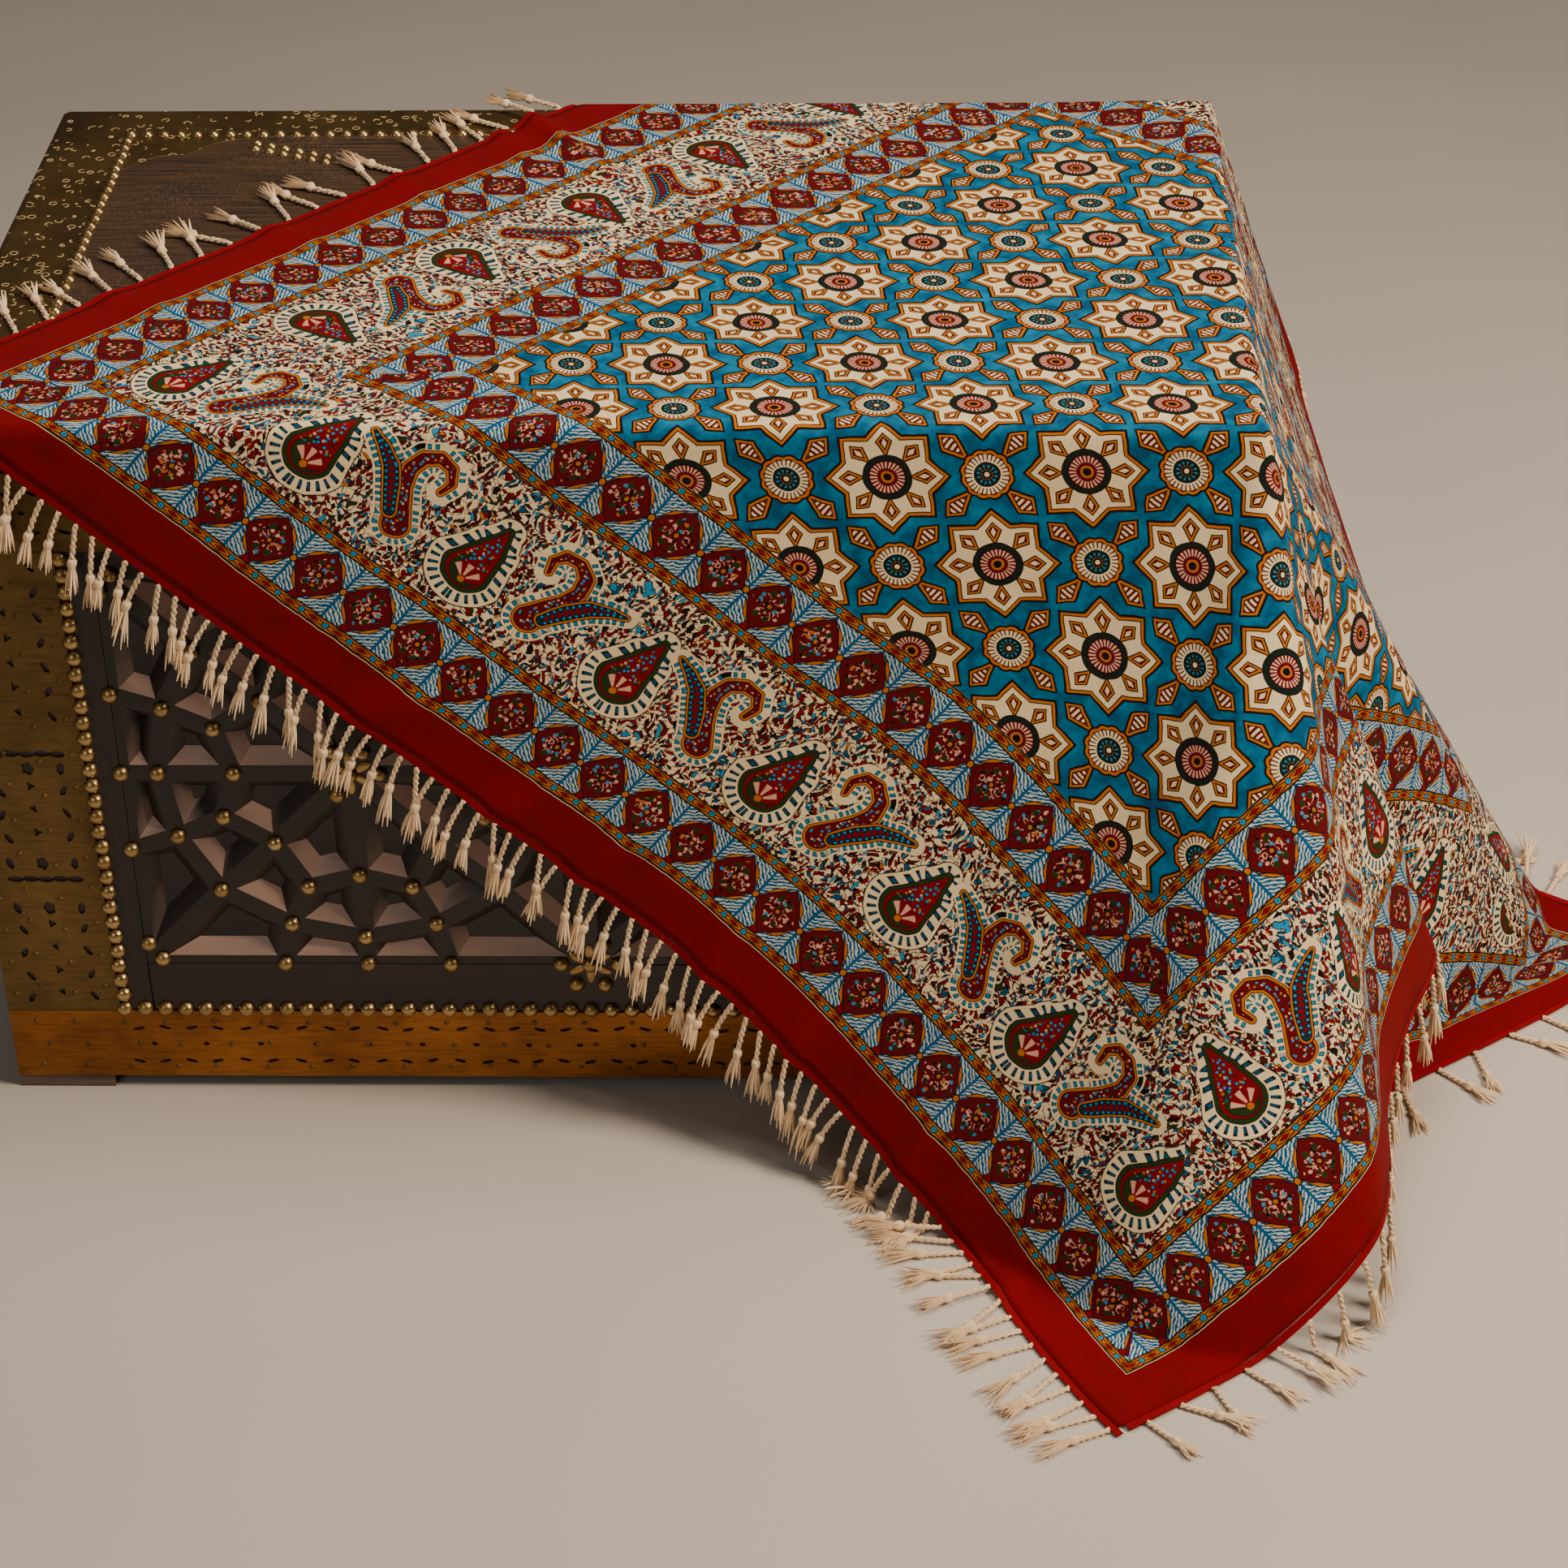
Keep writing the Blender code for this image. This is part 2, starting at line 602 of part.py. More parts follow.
dark_wood = material("dark_wood", (0.055, 0.030, 0.016), 0.45)
worn_brass = material("worn_brass", (0.42, 0.27, 0.09), 0.42, 0.9)
printed_cotton = material("printed_cotton", (0.45, 0.16, 0.10), 0.85)
fringe_yarn = material("fringe_yarn", (0.78, 0.66, 0.48), 0.9)

build_chest(dark_wood, worn_brass)
build_cloth(printed_cotton)
build_fringes(fringe_yarn)
centre_on_footprint()
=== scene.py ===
# %% [markdown]
# # A block-printed cotton cloth on a carved wooden chest
# The cloth is a square of cotton printed with wooden blocks: a blue field of eight-pointed stars,
# then rows of small diamonds, paisleys and diamonds again, and a plain crimson hem with a knotted
# fringe. It lies cornerwise on a low chest with a carved front and brass bands. The solids of the
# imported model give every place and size. This script gives them their fine shape and finish.

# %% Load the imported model
import math
from collections import namedtuple

import bmesh
import bpy
import numpy as np
from mathutils import Matrix, Vector
from mathutils.bvhtree import BVHTree


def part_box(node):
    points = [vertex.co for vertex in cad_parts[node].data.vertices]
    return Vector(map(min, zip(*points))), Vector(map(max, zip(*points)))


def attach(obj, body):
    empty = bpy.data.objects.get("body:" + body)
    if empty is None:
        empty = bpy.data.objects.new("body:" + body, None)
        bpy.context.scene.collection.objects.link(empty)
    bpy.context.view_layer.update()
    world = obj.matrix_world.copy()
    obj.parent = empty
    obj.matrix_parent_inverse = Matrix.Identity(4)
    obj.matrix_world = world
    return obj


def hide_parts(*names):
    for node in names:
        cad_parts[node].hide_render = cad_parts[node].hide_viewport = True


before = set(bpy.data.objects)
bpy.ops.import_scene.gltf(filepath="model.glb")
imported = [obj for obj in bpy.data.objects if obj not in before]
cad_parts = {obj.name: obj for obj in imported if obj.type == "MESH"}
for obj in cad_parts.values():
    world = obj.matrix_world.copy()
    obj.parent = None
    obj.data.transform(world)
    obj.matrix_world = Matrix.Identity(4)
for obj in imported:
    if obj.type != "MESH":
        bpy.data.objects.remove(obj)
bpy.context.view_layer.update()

lid_low, lid_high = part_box("chest_lid")
CHEST_WIDTH = lid_high.x - lid_low.x
CHEST_DEPTH = lid_high.y - lid_low.y
CHEST_HEIGHT = lid_high.z
CORNER = Vector((lid_high.x, lid_low.y, 0.0))
print("chest", [round(value, 3) for value in (CHEST_WIDTH, CHEST_DEPTH, CHEST_HEIGHT)])


# %% [markdown]
# ## Small helpers
# Everything is laid out from the lid's front right corner, as a maker would measure it: x to the
# right, y to the back, z up from the floor. `CORNER` moves a finished piece to its place in the
# frame. Each piece is finished the same way: its place goes into its mesh, it gets its finish, and
# it rides on the one body there is.

# %% Helpers for pieces
def only(piece):
    bpy.ops.object.select_all(action="DESELECT")
    piece.select_set(True)
    bpy.context.view_layer.objects.active = piece


def freeze(piece):
    """Put the object's place, turn and size into its mesh."""
    only(piece)
    bpy.ops.object.transform_apply(location=True, rotation=True, scale=True)


def joined(pieces, name):
    bpy.ops.object.select_all(action="DESELECT")
    for piece in pieces:
        piece.select_set(True)
    bpy.context.view_layer.objects.active = pieces[0]
    if len(pieces) > 1:
        bpy.ops.object.join()
    pieces[0].name = name
    return pieces[0]


def apply_all(piece):
    only(piece)
    for modifier in list(piece.modifiers):
        bpy.ops.object.modifier_apply(modifier=modifier.name)


def finished(piece, finish, replaced=(), smooth_deg=None):
    """Place a piece in the frame, give it its finish and tie it to the body."""
    piece.location += CORNER
    freeze(piece)
    piece.data.materials.clear()
    piece.data.materials.append(finish)
    if smooth_deg is not None:
        only(piece)
        bpy.ops.object.shade_smooth_by_angle(angle=math.radians(smooth_deg))
    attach(piece, "root")
    if replaced:
        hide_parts(*replaced)
    print(piece.name, len(piece.data.polygons), "faces")
    return piece


def solid_box(node):
    """A solid's low and high corners, counted from the lid's front right corner."""
    return [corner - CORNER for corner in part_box(node)]


def board(name, low, high, round_by=0.0):
    """A box between two corners, with its edges eased."""
    low, high = Vector(low), Vector(high)
    bpy.ops.object.select_all(action="DESELECT")
    bpy.ops.mesh.primitive_cube_add(size=1, location=(low + high) / 2)
    piece = bpy.context.object
    piece.name = name
    piece.scale = high - low
    freeze(piece)
    if round_by:
        eased = piece.modifiers.new("eased edges", "BEVEL")
        eased.width = round_by
        eased.segments = 2
        apply_all(piece)
    return piece


# %% [markdown]
# ## Camera, floor and light
# The photograph was taken from in front and above with a long lens. The chest's straight edges
# give the camera's place: 2.2 m in front, 1.7 m up, tilted down 35 degrees. One large soft lamp
# stands at the right, high up, so the cloth's right half is bright and the chest's front is dim.

# %% Camera
CAMERA_PLACE = Vector((-0.24406, -2.18981, 1.71893))
CAMERA_TILT = math.radians(34.685)
CAMERA_YAW = math.radians(-2.163)
CAMERA_ROLL = math.radians(-1.074)
LENS_MM = 83.289
SHIFT_UP = 0.0561

ahead = Vector((math.sin(CAMERA_YAW) * math.cos(CAMERA_TILT),
                math.cos(CAMERA_YAW) * math.cos(CAMERA_TILT), -math.sin(CAMERA_TILT)))
level_right = Vector((math.cos(CAMERA_YAW), -math.sin(CAMERA_YAW), 0.0))
level_up = level_right.cross(ahead)
right_way = level_right * math.cos(CAMERA_ROLL) + level_up * math.sin(CAMERA_ROLL)
up_way = level_up * math.cos(CAMERA_ROLL) - level_right * math.sin(CAMERA_ROLL)
camera = bpy.data.objects.new("camera", bpy.data.cameras.new("camera"))
bpy.context.scene.collection.objects.link(camera)
camera.matrix_world = Matrix.Translation(CAMERA_PLACE + CORNER) @ Matrix(
    (right_way, up_way, -ahead)).transposed().to_4x4()
camera.data.lens = LENS_MM
camera.data.sensor_width = 36.0
camera.data.shift_y = SHIFT_UP
camera.data.clip_end = 60.0
bpy.context.scene.camera = camera
print("camera at", [round(value, 3) for value in camera.location])


# %% Lamps and floor
Lamp = namedtuple("Lamp", "name x y z aim_x aim_y aim_z size watts warmth")
LAMPS = [
    Lamp("key", 1.75, -0.75, 2.35, -0.10, -0.05, 0.40, 0.9, 104.0, 0.86),
    Lamp("top", -0.30, 0.20, 2.60, -0.35, 0.10, 0.30, 1.0, 34.0, 0.93),
    Lamp("fill", -2.00, -2.60, 1.80, -0.40, 0.00, 0.25, 1.8, 13.0, 0.95),
]
for row in LAMPS:
    lamp = bpy.data.lights.new(row.name, "AREA")
    lamp.size = row.size
    lamp.energy = row.watts
    lamp.color = (1.0, row.warmth, row.warmth ** 2.6)
    holder = bpy.data.objects.new(row.name, lamp)
    bpy.context.scene.collection.objects.link(holder)
    place = Vector((row.x, row.y, row.z))
    aim = Vector((row.aim_x, row.aim_y, row.aim_z)) - place
    holder.location = place + CORNER
    holder.rotation_euler = aim.to_track_quat("-Z", "Y").to_euler()

WORLD_TINT = (0.60, 0.55, 0.50, 1.0)
WORLD_STRENGTH = 0.13
world = bpy.data.worlds.new("studio")
world.use_nodes = True
world.node_tree.nodes["Background"].inputs["Color"].default_value = WORLD_TINT
world.node_tree.nodes["Background"].inputs["Strength"].default_value = WORLD_STRENGTH
bpy.context.scene.world = world

FLOOR_HALF = 9.0
bpy.ops.object.select_all(action="DESELECT")
bpy.ops.mesh.primitive_plane_add(size=2 * FLOOR_HALF)
floor = bpy.context.object
floor.name = "floor"


# %% [markdown]
# ## Words for wiring materials
# A printed pattern is arithmetic on two numbers, the place along the cloth's two sides. Written
# as single nodes it would fill pages, so `Wire` lets a node's output be added and multiplied like
# a number, and each such step puts down one Math node. `Desk` holds the tree being wired.

# %% Desk and Wire
class Wire:
    """A node's output that can be used in sums."""

    def __init__(self, desk, socket):
        self.desk = desk
        self.socket = socket

    def __add__(self, other):
        return self.desk.maths("ADD", self, other)

    def __radd__(self, other):
        return self.desk.maths("ADD", other, self)

    def __sub__(self, other):
        return self.desk.maths("SUBTRACT", self, other)

    def __rsub__(self, other):
        return self.desk.maths("SUBTRACT", other, self)

    def __mul__(self, other):
        return self.desk.maths("MULTIPLY", self, other)

    def __rmul__(self, other):
        return self.desk.maths("MULTIPLY", other, self)

    def __abs__(self):
        return self.desk.maths("ABSOLUTE", self)


class Desk:
    """A node tree being wired, with short words for its nodes."""

    def __init__(self, tree):
        self.tree = tree
        self.made = 0

    def node(self, kind, **settings):
        node = self.tree.nodes.new(kind)
        node.location = (200 * (self.made % 30), -260 * (self.made // 30))
        self.made += 1
        for name, value in settings.items():
            setattr(node, name, value)
        return node

    def feed(self, socket, value):
        if isinstance(value, Wire):
            self.tree.links.new(value.socket, socket)
        else:
            socket.default_value = value

    def maths(self, operation, *values, clamp=False):
        node = self.node("ShaderNodeMath", operation=operation, use_clamp=clamp)
        for socket, value in zip(node.inputs, values):
            self.feed(socket, value)
        return Wire(self, node.outputs[0])

    def arrow(self, operation, *values, output="Vector"):
        node = self.node("ShaderNodeVectorMath", operation=operation)
        for socket, value in zip(node.inputs, values):
            self.feed(socket, value)
        return Wire(self, node.outputs[output])

    def point(self, x, y, z=0.0):
        node = self.node("ShaderNodeCombineXYZ")
        for socket, value in zip(node.inputs, (x, y, z)):
            self.feed(socket, value)
        return Wire(self, node.outputs[0])

    def split(self, wire):
        node = self.node("ShaderNodeSeparateXYZ")
        self.feed(node.inputs[0], wire)
        return [Wire(self, output) for output in node.outputs]

    def paint(self, below, above, mask):
        """One colour laid over another where the mask is 1."""
        node = self.node("ShaderNodeMix", data_type="RGBA")
        self.feed(node.inputs[0], mask)
        self.feed(node.inputs[6], below)
        self.feed(node.inputs[7], above)
        return Wire(self, node.outputs[2])

    def inside(self, distance, soft):
        """1 where a distance is below 0 and 0 where it is above, with a soft rim."""
        return self.maths("MULTIPLY_ADD", distance, -1.0 / soft, 0.5, clamp=True)

    def levels(self, value, gain, lift):
        """A value stretched by a gain and a lift, and kept from 0 to 1."""
        return self.maths("MULTIPLY_ADD", value, gain, lift, clamp=True)

    def both(self, one, other):
        return self.maths("MULTIPLY", one, other)

    def least(self, one, other):
        return self.maths("MINIMUM", one, other)

    def most(self, one, other):
        return self.maths("MAXIMUM", one, other)

    def length(self, x, y):
        return self.arrow("LENGTH", self.point(x, y), output="Value")

    def fold(self, value, period):
        """Where a value lies within its repeat, from minus half a period to plus half."""
        turns = self.maths("ROUND", value * (1.0 / period))
        return self.maths("MULTIPLY_ADD", turns, -period, value)

    def noise(self, place, scale, detail=2.0, rough=0.5, output="Fac", flat=False):
        """Cloudy unevenness. A flat one reads only x and y, which renders quicker."""
        node = self.node("ShaderNodeTexNoise", noise_dimensions="2D" if flat else "3D")
        self.feed(node.inputs["Vector"], place)
        node.inputs["Scale"].default_value = scale
        node.inputs["Detail"].default_value = detail
        node.inputs["Roughness"].default_value = rough
        return Wire(self, node.outputs[output])

    def cells(self, place, scale, spread=1.0, measure="EUCLIDEAN", flat=False):
        """Scattered small places: the distance to the nearest, and its own random colour."""
        node = self.node("ShaderNodeTexVoronoi", distance=measure,
                         voronoi_dimensions="2D" if flat else "3D")
        self.feed(node.inputs["Vector"], place)
        node.inputs["Scale"].default_value = scale
        node.inputs["Randomness"].default_value = spread
        return Wire(self, node.outputs["Distance"]), Wire(self, node.outputs["Color"])

    def steps(self, value, rows):
        """A colour picked by a value, from rows of start and colour."""
        node = self.node("ShaderNodeValToRGB")
        node.color_ramp.interpolation = "CONSTANT"
        marks = node.color_ramp.elements
        while len(marks) < len(rows):
            marks.new(0.5)
        for mark, (start, colour) in zip(marks, rows):
            mark.position = start
            mark.color = colour
        self.feed(node.inputs[0], value)
        return Wire(self, node.outputs[0])

    def red(self, colour):
        """A colour's red share, used as a random pick."""
        node = self.node("ShaderNodeSeparateColor")
        self.feed(node.inputs[0], colour)
        return Wire(self, node.outputs[0])

    def group(self, tree, *values):
        node = self.node("ShaderNodeGroup", node_tree=tree)
        for socket, value in zip(node.inputs, values):
            self.feed(socket, value)
        return [Wire(self, output) for output in node.outputs]


SOCKETS = {"number": "NodeSocketFloat", "place": "NodeSocketVector", "colour": "NodeSocketColor"}


def open_group(name, **inputs):
    tree = bpy.data.node_groups.new(name, "ShaderNodeTree")
    for label, kind in inputs.items():
        tree.interface.new_socket(label, in_out="INPUT", socket_type=SOCKETS[kind])
    desk = Desk(tree)
    source = desk.node("NodeGroupInput")
    return desk, [Wire(desk, source.outputs[label]) for label in inputs]


def close_group(desk, **outputs):
    for label, (kind, _) in outputs.items():
        desk.tree.interface.new_socket(label, in_out="OUTPUT", socket_type=SOCKETS[kind])
    end = desk.node("NodeGroupOutput")
    for label, (_, wire) in outputs.items():
        desk.feed(end.inputs[label], wire)
    print("group", desk.tree.name, len(desk.tree.nodes), "nodes")
    return desk.tree


def ink(red, green, blue):
    """A screen colour from 0 to 255 as the linear colour that a node takes."""
    shares = [value / 255 for value in (red, green, blue)]
    linear = [s / 12.92 if s <= 0.04045 else ((s + 0.055) / 1.055) ** 2.4 for s in shares]
    return (*linear, 1.0)


# %% Materials start here
def open_finish(name, roughness, metallic=0.0):
    """A new material: its desk and its main shader."""
    finish = bpy.data.materials.new(name)
    finish.use_nodes = True
    desk = Desk(finish.node_tree)
    shader = finish.node_tree.nodes["Principled BSDF"]
    shader.inputs["Roughness"].default_value = roughness
    shader.inputs["Metallic"].default_value = metallic
    return finish, desk, shader


def bump(desk, shader, height, distance, strength=1.0):
    node = desk.node("ShaderNodeBump")
    node.inputs["Strength"].default_value = strength
    node.inputs["Distance"].default_value = distance
    desk.feed(node.inputs["Height"], height)
    desk.feed(shader.inputs["Normal"], Wire(desk, node.outputs[0]))


def object_place(desk):
    """Object coordinates, counted from the lid's front right corner as the sizes here are."""
    source = desk.node("ShaderNodeTexCoord")
    return desk.arrow("SUBTRACT", Wire(desk, source.outputs["Object"]), tuple(CORNER))


floor_finish, desk, shader = open_finish("pale floor", 0.9)
desk.feed(shader.inputs["Base Color"], desk.paint(
    (0.50, 0.44, 0.39, 1.0), (0.56, 0.50, 0.44, 1.0), desk.noise(object_place(desk), 3.0, 1.0)))
floor.data.materials.append(floor_finish)


# %% [markdown]
# ## Wood
# Old oiled wood: nearly black, with fine streaks along the grain, redder where hands have worn
# it, and dull patches of dust. Grain is noise that is stretched along one way, so one group takes
# a place that has already been squeezed, and each board chooses which way its grain runs.

# %% Wood grain group and wood finishes
desk, (place,) = open_group("wood grain", place="place")
streaks = desk.noise(place, 1.0, 5.0, 0.65)
pores = desk.noise(desk.arrow("MULTIPLY", place, (4.0, 4.0, 4.0)), 1.0, 3.0, 0.6)
patches = desk.noise(desk.arrow("MULTIPLY", place, (0.03, 0.03, 0.03)), 1.0, 3.0, 0.6)
wood_grain = close_group(desk, streaks=("number", streaks), pores=("number", pores),
                         patches=("number", patches))

GRAIN_ACROSS = 260.0
GRAIN_ALONG = 9.0


def wood(name, dark, warm, dusty, along, roughness, dust_share=0.5, painted_slope_light=0.0):
    """A wood whose grain runs along x, y or z, with painted light on the slopes that face up."""
    finish, desk, shader = open_finish(name, roughness)
    squeeze = [GRAIN_ALONG if axis == along else GRAIN_ACROSS for axis in "xyz"]
    place = desk.arrow("MULTIPLY", object_place(desk), tuple(squeeze))
    streaks, pores, patches = desk.group(wood_grain, place)
    worn = desk.levels(streaks, 3.2, -1.15)
    colour = desk.paint(dark, warm, worn)
    dust = desk.noise(object_place(desk), 14.0, 5.0, 0.7)
    dust = desk.levels(dust, 3.0, -1.55)
    fine = desk.levels(pores, 2.4, -0.7)
    colour = desk.paint(colour, dusty, desk.both(desk.both(dust, fine), dust_share))
    if painted_slope_light:
        # Painted light: slopes that face up, and a little those that face right, are painted pale as if lit from
        # above and from the right.
        source = desk.node("ShaderNodeTexCoord")
        face_x, face_y, face_z = desk.split(Wire(desk, source.outputs["Normal"]))
        lit_slope_share = desk.levels(face_z + face_x * 0.45, 2.2, -0.55)
        lit_slope_share = desk.both(lit_slope_share, desk.maths("LESS_THAN", face_z, 0.9))
        colour = desk.paint(colour, ink(206, 166, 148), desk.both(lit_slope_share, painted_slope_light))
    desk.feed(shader.inputs["Base Color"], colour)
    desk.feed(shader.inputs["Roughness"], desk.maths("MULTIPLY_ADD", dust, 0.22, roughness))
    bump(desk, shader, desk.maths("MULTIPLY_ADD", pores, 0.4, streaks), 0.0008, 0.5)
    return finish


oiled_across = wood("oiled wood, level grain",
                    ink(14, 6, 4), ink(42, 18, 10), ink(84, 66, 56), "x", 0.34, 0.4)
oiled_upright = wood("oiled wood, upright grain",
                     ink(12, 6, 4), ink(40, 17, 9), ink(66, 50, 44), "z", 0.36, 0.25)
carved_wood = wood("carved wood",
                   ink(10, 5, 4), ink(34, 15, 9), ink(66, 50, 44), "x", 0.30, 0.2, 0.95)
worn_feet = wood("worn foot wood", ink(82, 66, 56), ink(120, 100, 86), ink(150, 130, 112), "x", 0.75)


# %% [markdown]
# ## Brass
# The bands are thin old sheet brass, brushed, browned and a little uneven. The domed nails are
# the same metal, polished on top by dust cloths. One group gives the tarnish for both.

# %% Tarnish group and brass finishes
desk, (place,) = open_group("tarnish", place="place")
clouds = desk.noise(place, 11.0, 5.0, 0.65)
clouds = desk.levels(clouds, 2.6, -0.8)
brushed = desk.noise(desk.arrow("MULTIPLY", place, (30.0, 30.0, 420.0)), 1.0, 3.0, 0.6)
dents = desk.noise(place, 60.0, 3.0, 0.55)
tarnish = close_group(desk, clouds=("number", clouds), brushed=("number", brushed),
                      dents=("number", dents))


def brass(name, bright, brown, roughness, metallic):
    finish, desk, shader = open_finish(name, roughness, metallic)
    clouds, brushed, dents = desk.group(tarnish, object_place(desk))
    colour = desk.paint(bright, brown, clouds)
    colour = desk.paint(colour, ink(60, 38, 16), desk.levels(brushed, 2.0, -0.95))
    desk.feed(shader.inputs["Base Color"], colour)
    desk.feed(shader.inputs["Roughness"], desk.maths("MULTIPLY_ADD", clouds, 0.18, roughness))
    bump(desk, shader, desk.maths("MULTIPLY_ADD", dents, 2.0, brushed), 0.0006, 0.5)
    return finish


stile_brass = brass("browned sheet brass", ink(124, 96, 50), ink(86, 64, 30), 0.46, 0.65)
rail_brass = brass("reddish sheet brass", ink(176, 110, 46), ink(128, 76, 30), 0.46, 0.7)
nail_brass = brass("polished nail brass", ink(206, 174, 118), ink(150, 120, 72), 0.22, 0.95)


# %% [markdown]
# ## The cloth's shape
# The cloth is placed by the same rule as its solid: a flat cloth is turned down over the lid's
# front and right edges, and between them it falls in folds that fan out from the lid's corner.
# The solid is coarse. Here a fine grid of the cloth follows the rule, each point is the average
# of the rule over a small disc, which rounds the creases as cotton does, and low ridges are added
# where the photograph shows a pleat or a ripple.

# %% Sizes and folds of the cloth
PITCH_A = 0.100
PITCH_B = 0.089
FIELD_A = 6.40 * PITCH_A
FIELD_B = 6.80 * PITCH_B
BORDER = 0.294
A_LOW, A_HIGH = -BORDER, FIELD_A + BORDER
B_LOW, B_HIGH = -BORDER, FIELD_B + BORDER
STRIP_WIDTH = 0.006
STRIP_GAP = 0.0007
EDGE_CLEARANCE = 0.004
SEAT_GAP = 0.0003
SOLID_CLOTH = 0.002
WEFT_ANGLE = math.radians(-40.15)
WARP_ANGLE = math.radians(48.2)
CORNER_A = 4.57 * PITCH_A
CORNER_B = 3.20 * PITCH_B

Fold = namedtuple("Fold", "flat_deg right back down lay_deg")
FOLDS = [
    Fold(0, -1.000, 0.000, 0.000, 0),
    Fold(15, -0.966, -0.026, 0.258, 0),
    Fold(30, -0.866, -0.045, 0.498, 0),
    Fold(45, -0.708, -0.068, 0.703, 0),
    Fold(60, -0.510, -0.165, 0.844, 0),
    Fold(75, -0.300, -0.300, 0.905, 0),
    Fold(90, -0.090, -0.450, 0.890, 0),
    Fold(105, 0.150, -0.430, 0.890, 0),
    Fold(120, 0.220, -0.187, 0.957, 0),
    Fold(129, 0.287, -0.045, 0.957, 0),
    Fold(134, 0.328, 0.034, 0.944, 0),
    Fold(137.5, 0.318, 0.068, 0.946, 0),
    Fold(141, 0.275, 0.030, 0.960, 0),
    Fold(148, 0.215, -0.075, 0.972, 0),
    Fold(155, 0.125, -0.190, 0.974, 0),
    Fold(159, 0.070, -0.225, 0.971, 0),
    Fold(163, 0.060, -0.180, 0.980, 0),
    Fold(173, 0.155, -0.035, 0.983, -20),
    Fold(180, 0.245, 0.090, 0.965, -25),
    Fold(187, 0.340, 0.195, 0.925, -18),
    Fold(195, 0.410, 0.280, 0.870, -6),
    Fold(210, 0.360, 0.490, 0.795, 0),
    Fold(225, 0.255, 0.690, 0.677, 0),
    Fold(240, 0.170, 0.855, 0.490, 0),
    Fold(255, 0.085, 0.962, 0.258, 0),
    Fold(270, 0.000, 1.000, 0.000, 0),
]
FOLD_START = 0.06
FOLD_REACH = 0.32
FOLD_ROUND_DEG = 2.5
CALM_FROM_DEG = 112.0
CALM_TO_DEG = 200.0
BACK_LEAN = 0.05
BACK_WAVE = 0.05
WAVE_RADIUS = 0.055
CORNER_FOLD_OUT = 0.22
CORNER_FOLD_WAY = (0.30, 1.00, 0.00)
MID_TOP = CHEST_HEIGHT + SEAT_GAP + SOLID_CLOTH / 2
DROP = CHEST_HEIGHT
FLAT_BACK = CHEST_DEPTH + 2 * EDGE_CLEARANCE
FLAT_LEFT = -(CHEST_WIDTH + 2 * EDGE_CLEARANCE)


# %% The rule that drapes the flat cloth
def unit(vector):
    vector = np.asarray(vector, float)
    return vector / np.maximum(np.linalg.norm(vector, axis=-1, keepdims=True), 1e-9)


def smooth_step(value):
    value = np.clip(value, 0.0, 1.0)
    return value * value * (3 - 2 * value)


def spline(at, knots, values):
    """A smooth curve through a table's rows, read at the given places."""
    knots = np.asarray(knots, float)
    values = np.asarray(values, float)
    slopes = np.gradient(values, knots, axis=0)
    row = np.clip(np.searchsorted(knots, at, side="right") - 1, 0, len(knots) - 2)
    span = (knots[row + 1] - knots[row])[:, None]
    s = ((at - knots[row]) / (knots[row + 1] - knots[row]))[:, None]
    rise = (1 + 2 * s) * (1 - s) ** 2 * values[row] + s * s * (3 - 2 * s) * values[row + 1]
    bend = s * (1 - s) ** 2 * slopes[row] - s * s * (1 - s) * slopes[row + 1]
    return rise + span * bend


FLAT_DEGS = [row.flat_deg for row in FOLDS]
DIRECTIONS = [(row.right, row.back, -row.down) for row in FOLDS]
LAYS = [(row.lay_deg,) for row in FOLDS]


def fold_direction(flat_deg, reach):
    """Where the cloth's line at this flat angle points, at each distance from the corner."""
    folded = unit(spline(flat_deg, FLAT_DEGS, DIRECTIONS))
    before = unit(spline(np.clip(flat_deg - FOLD_ROUND_DEG, 0, 270), FLAT_DEGS, DIRECTIONS))
    after = unit(spline(np.clip(flat_deg + FOLD_ROUND_DEG, 0, 270), FLAT_DEGS, DIRECTIONS))
    ends = unit(spline(np.array([CALM_FROM_DEG, CALM_TO_DEG]), FLAT_DEGS, DIRECTIONS))
    share = np.clip((flat_deg - CALM_FROM_DEG) / (CALM_TO_DEG - CALM_FROM_DEG), 0, 1)[:, None]
    calm = unit(ends[0] * (1 - share) + ends[1] * share)
    inside = (flat_deg > CALM_FROM_DEG) & (flat_deg < CALM_TO_DEG)
    folded = np.where(inside[:, None], (before + folded + after) / 3, folded)
    depth = smooth_step((reach - FOLD_START) / (FOLD_REACH - FOLD_START))
    depth = np.where(inside, depth, 1.0)[:, None]
    return unit(calm * (1 - depth) + folded * depth)


def hang_from_corner(flat):
    """Flat cloth right of the corner or in front of it, as it hangs in folds to the floor."""
    reach = np.hypot(flat[:, 0], flat[:, 1])
    flat_deg = np.degrees(np.arctan2(-flat[:, 1], -flat[:, 0])) % 360
    flat_deg = np.where(flat_deg > 270, np.where(flat_deg > 315, 0.0, 270.0), flat_deg)
    along = fold_direction(flat_deg, reach)
    lay = np.radians(spline(flat_deg, FLAT_DEGS, LAYS)[:, 0])
    to_floor = DROP / np.maximum(-along[:, 2], 1e-4)
    air = np.minimum(reach, to_floor)
    out = unit(along[:, :2])
    turned = np.stack([out[:, 0] * np.cos(lay) - out[:, 1] * np.sin(lay),
                       out[:, 0] * np.sin(lay) + out[:, 1] * np.cos(lay)], axis=1)
    place = along * air[:, None]
    place[:, :2] += turned * np.maximum(reach - to_floor, 0)[:, None]
    return place


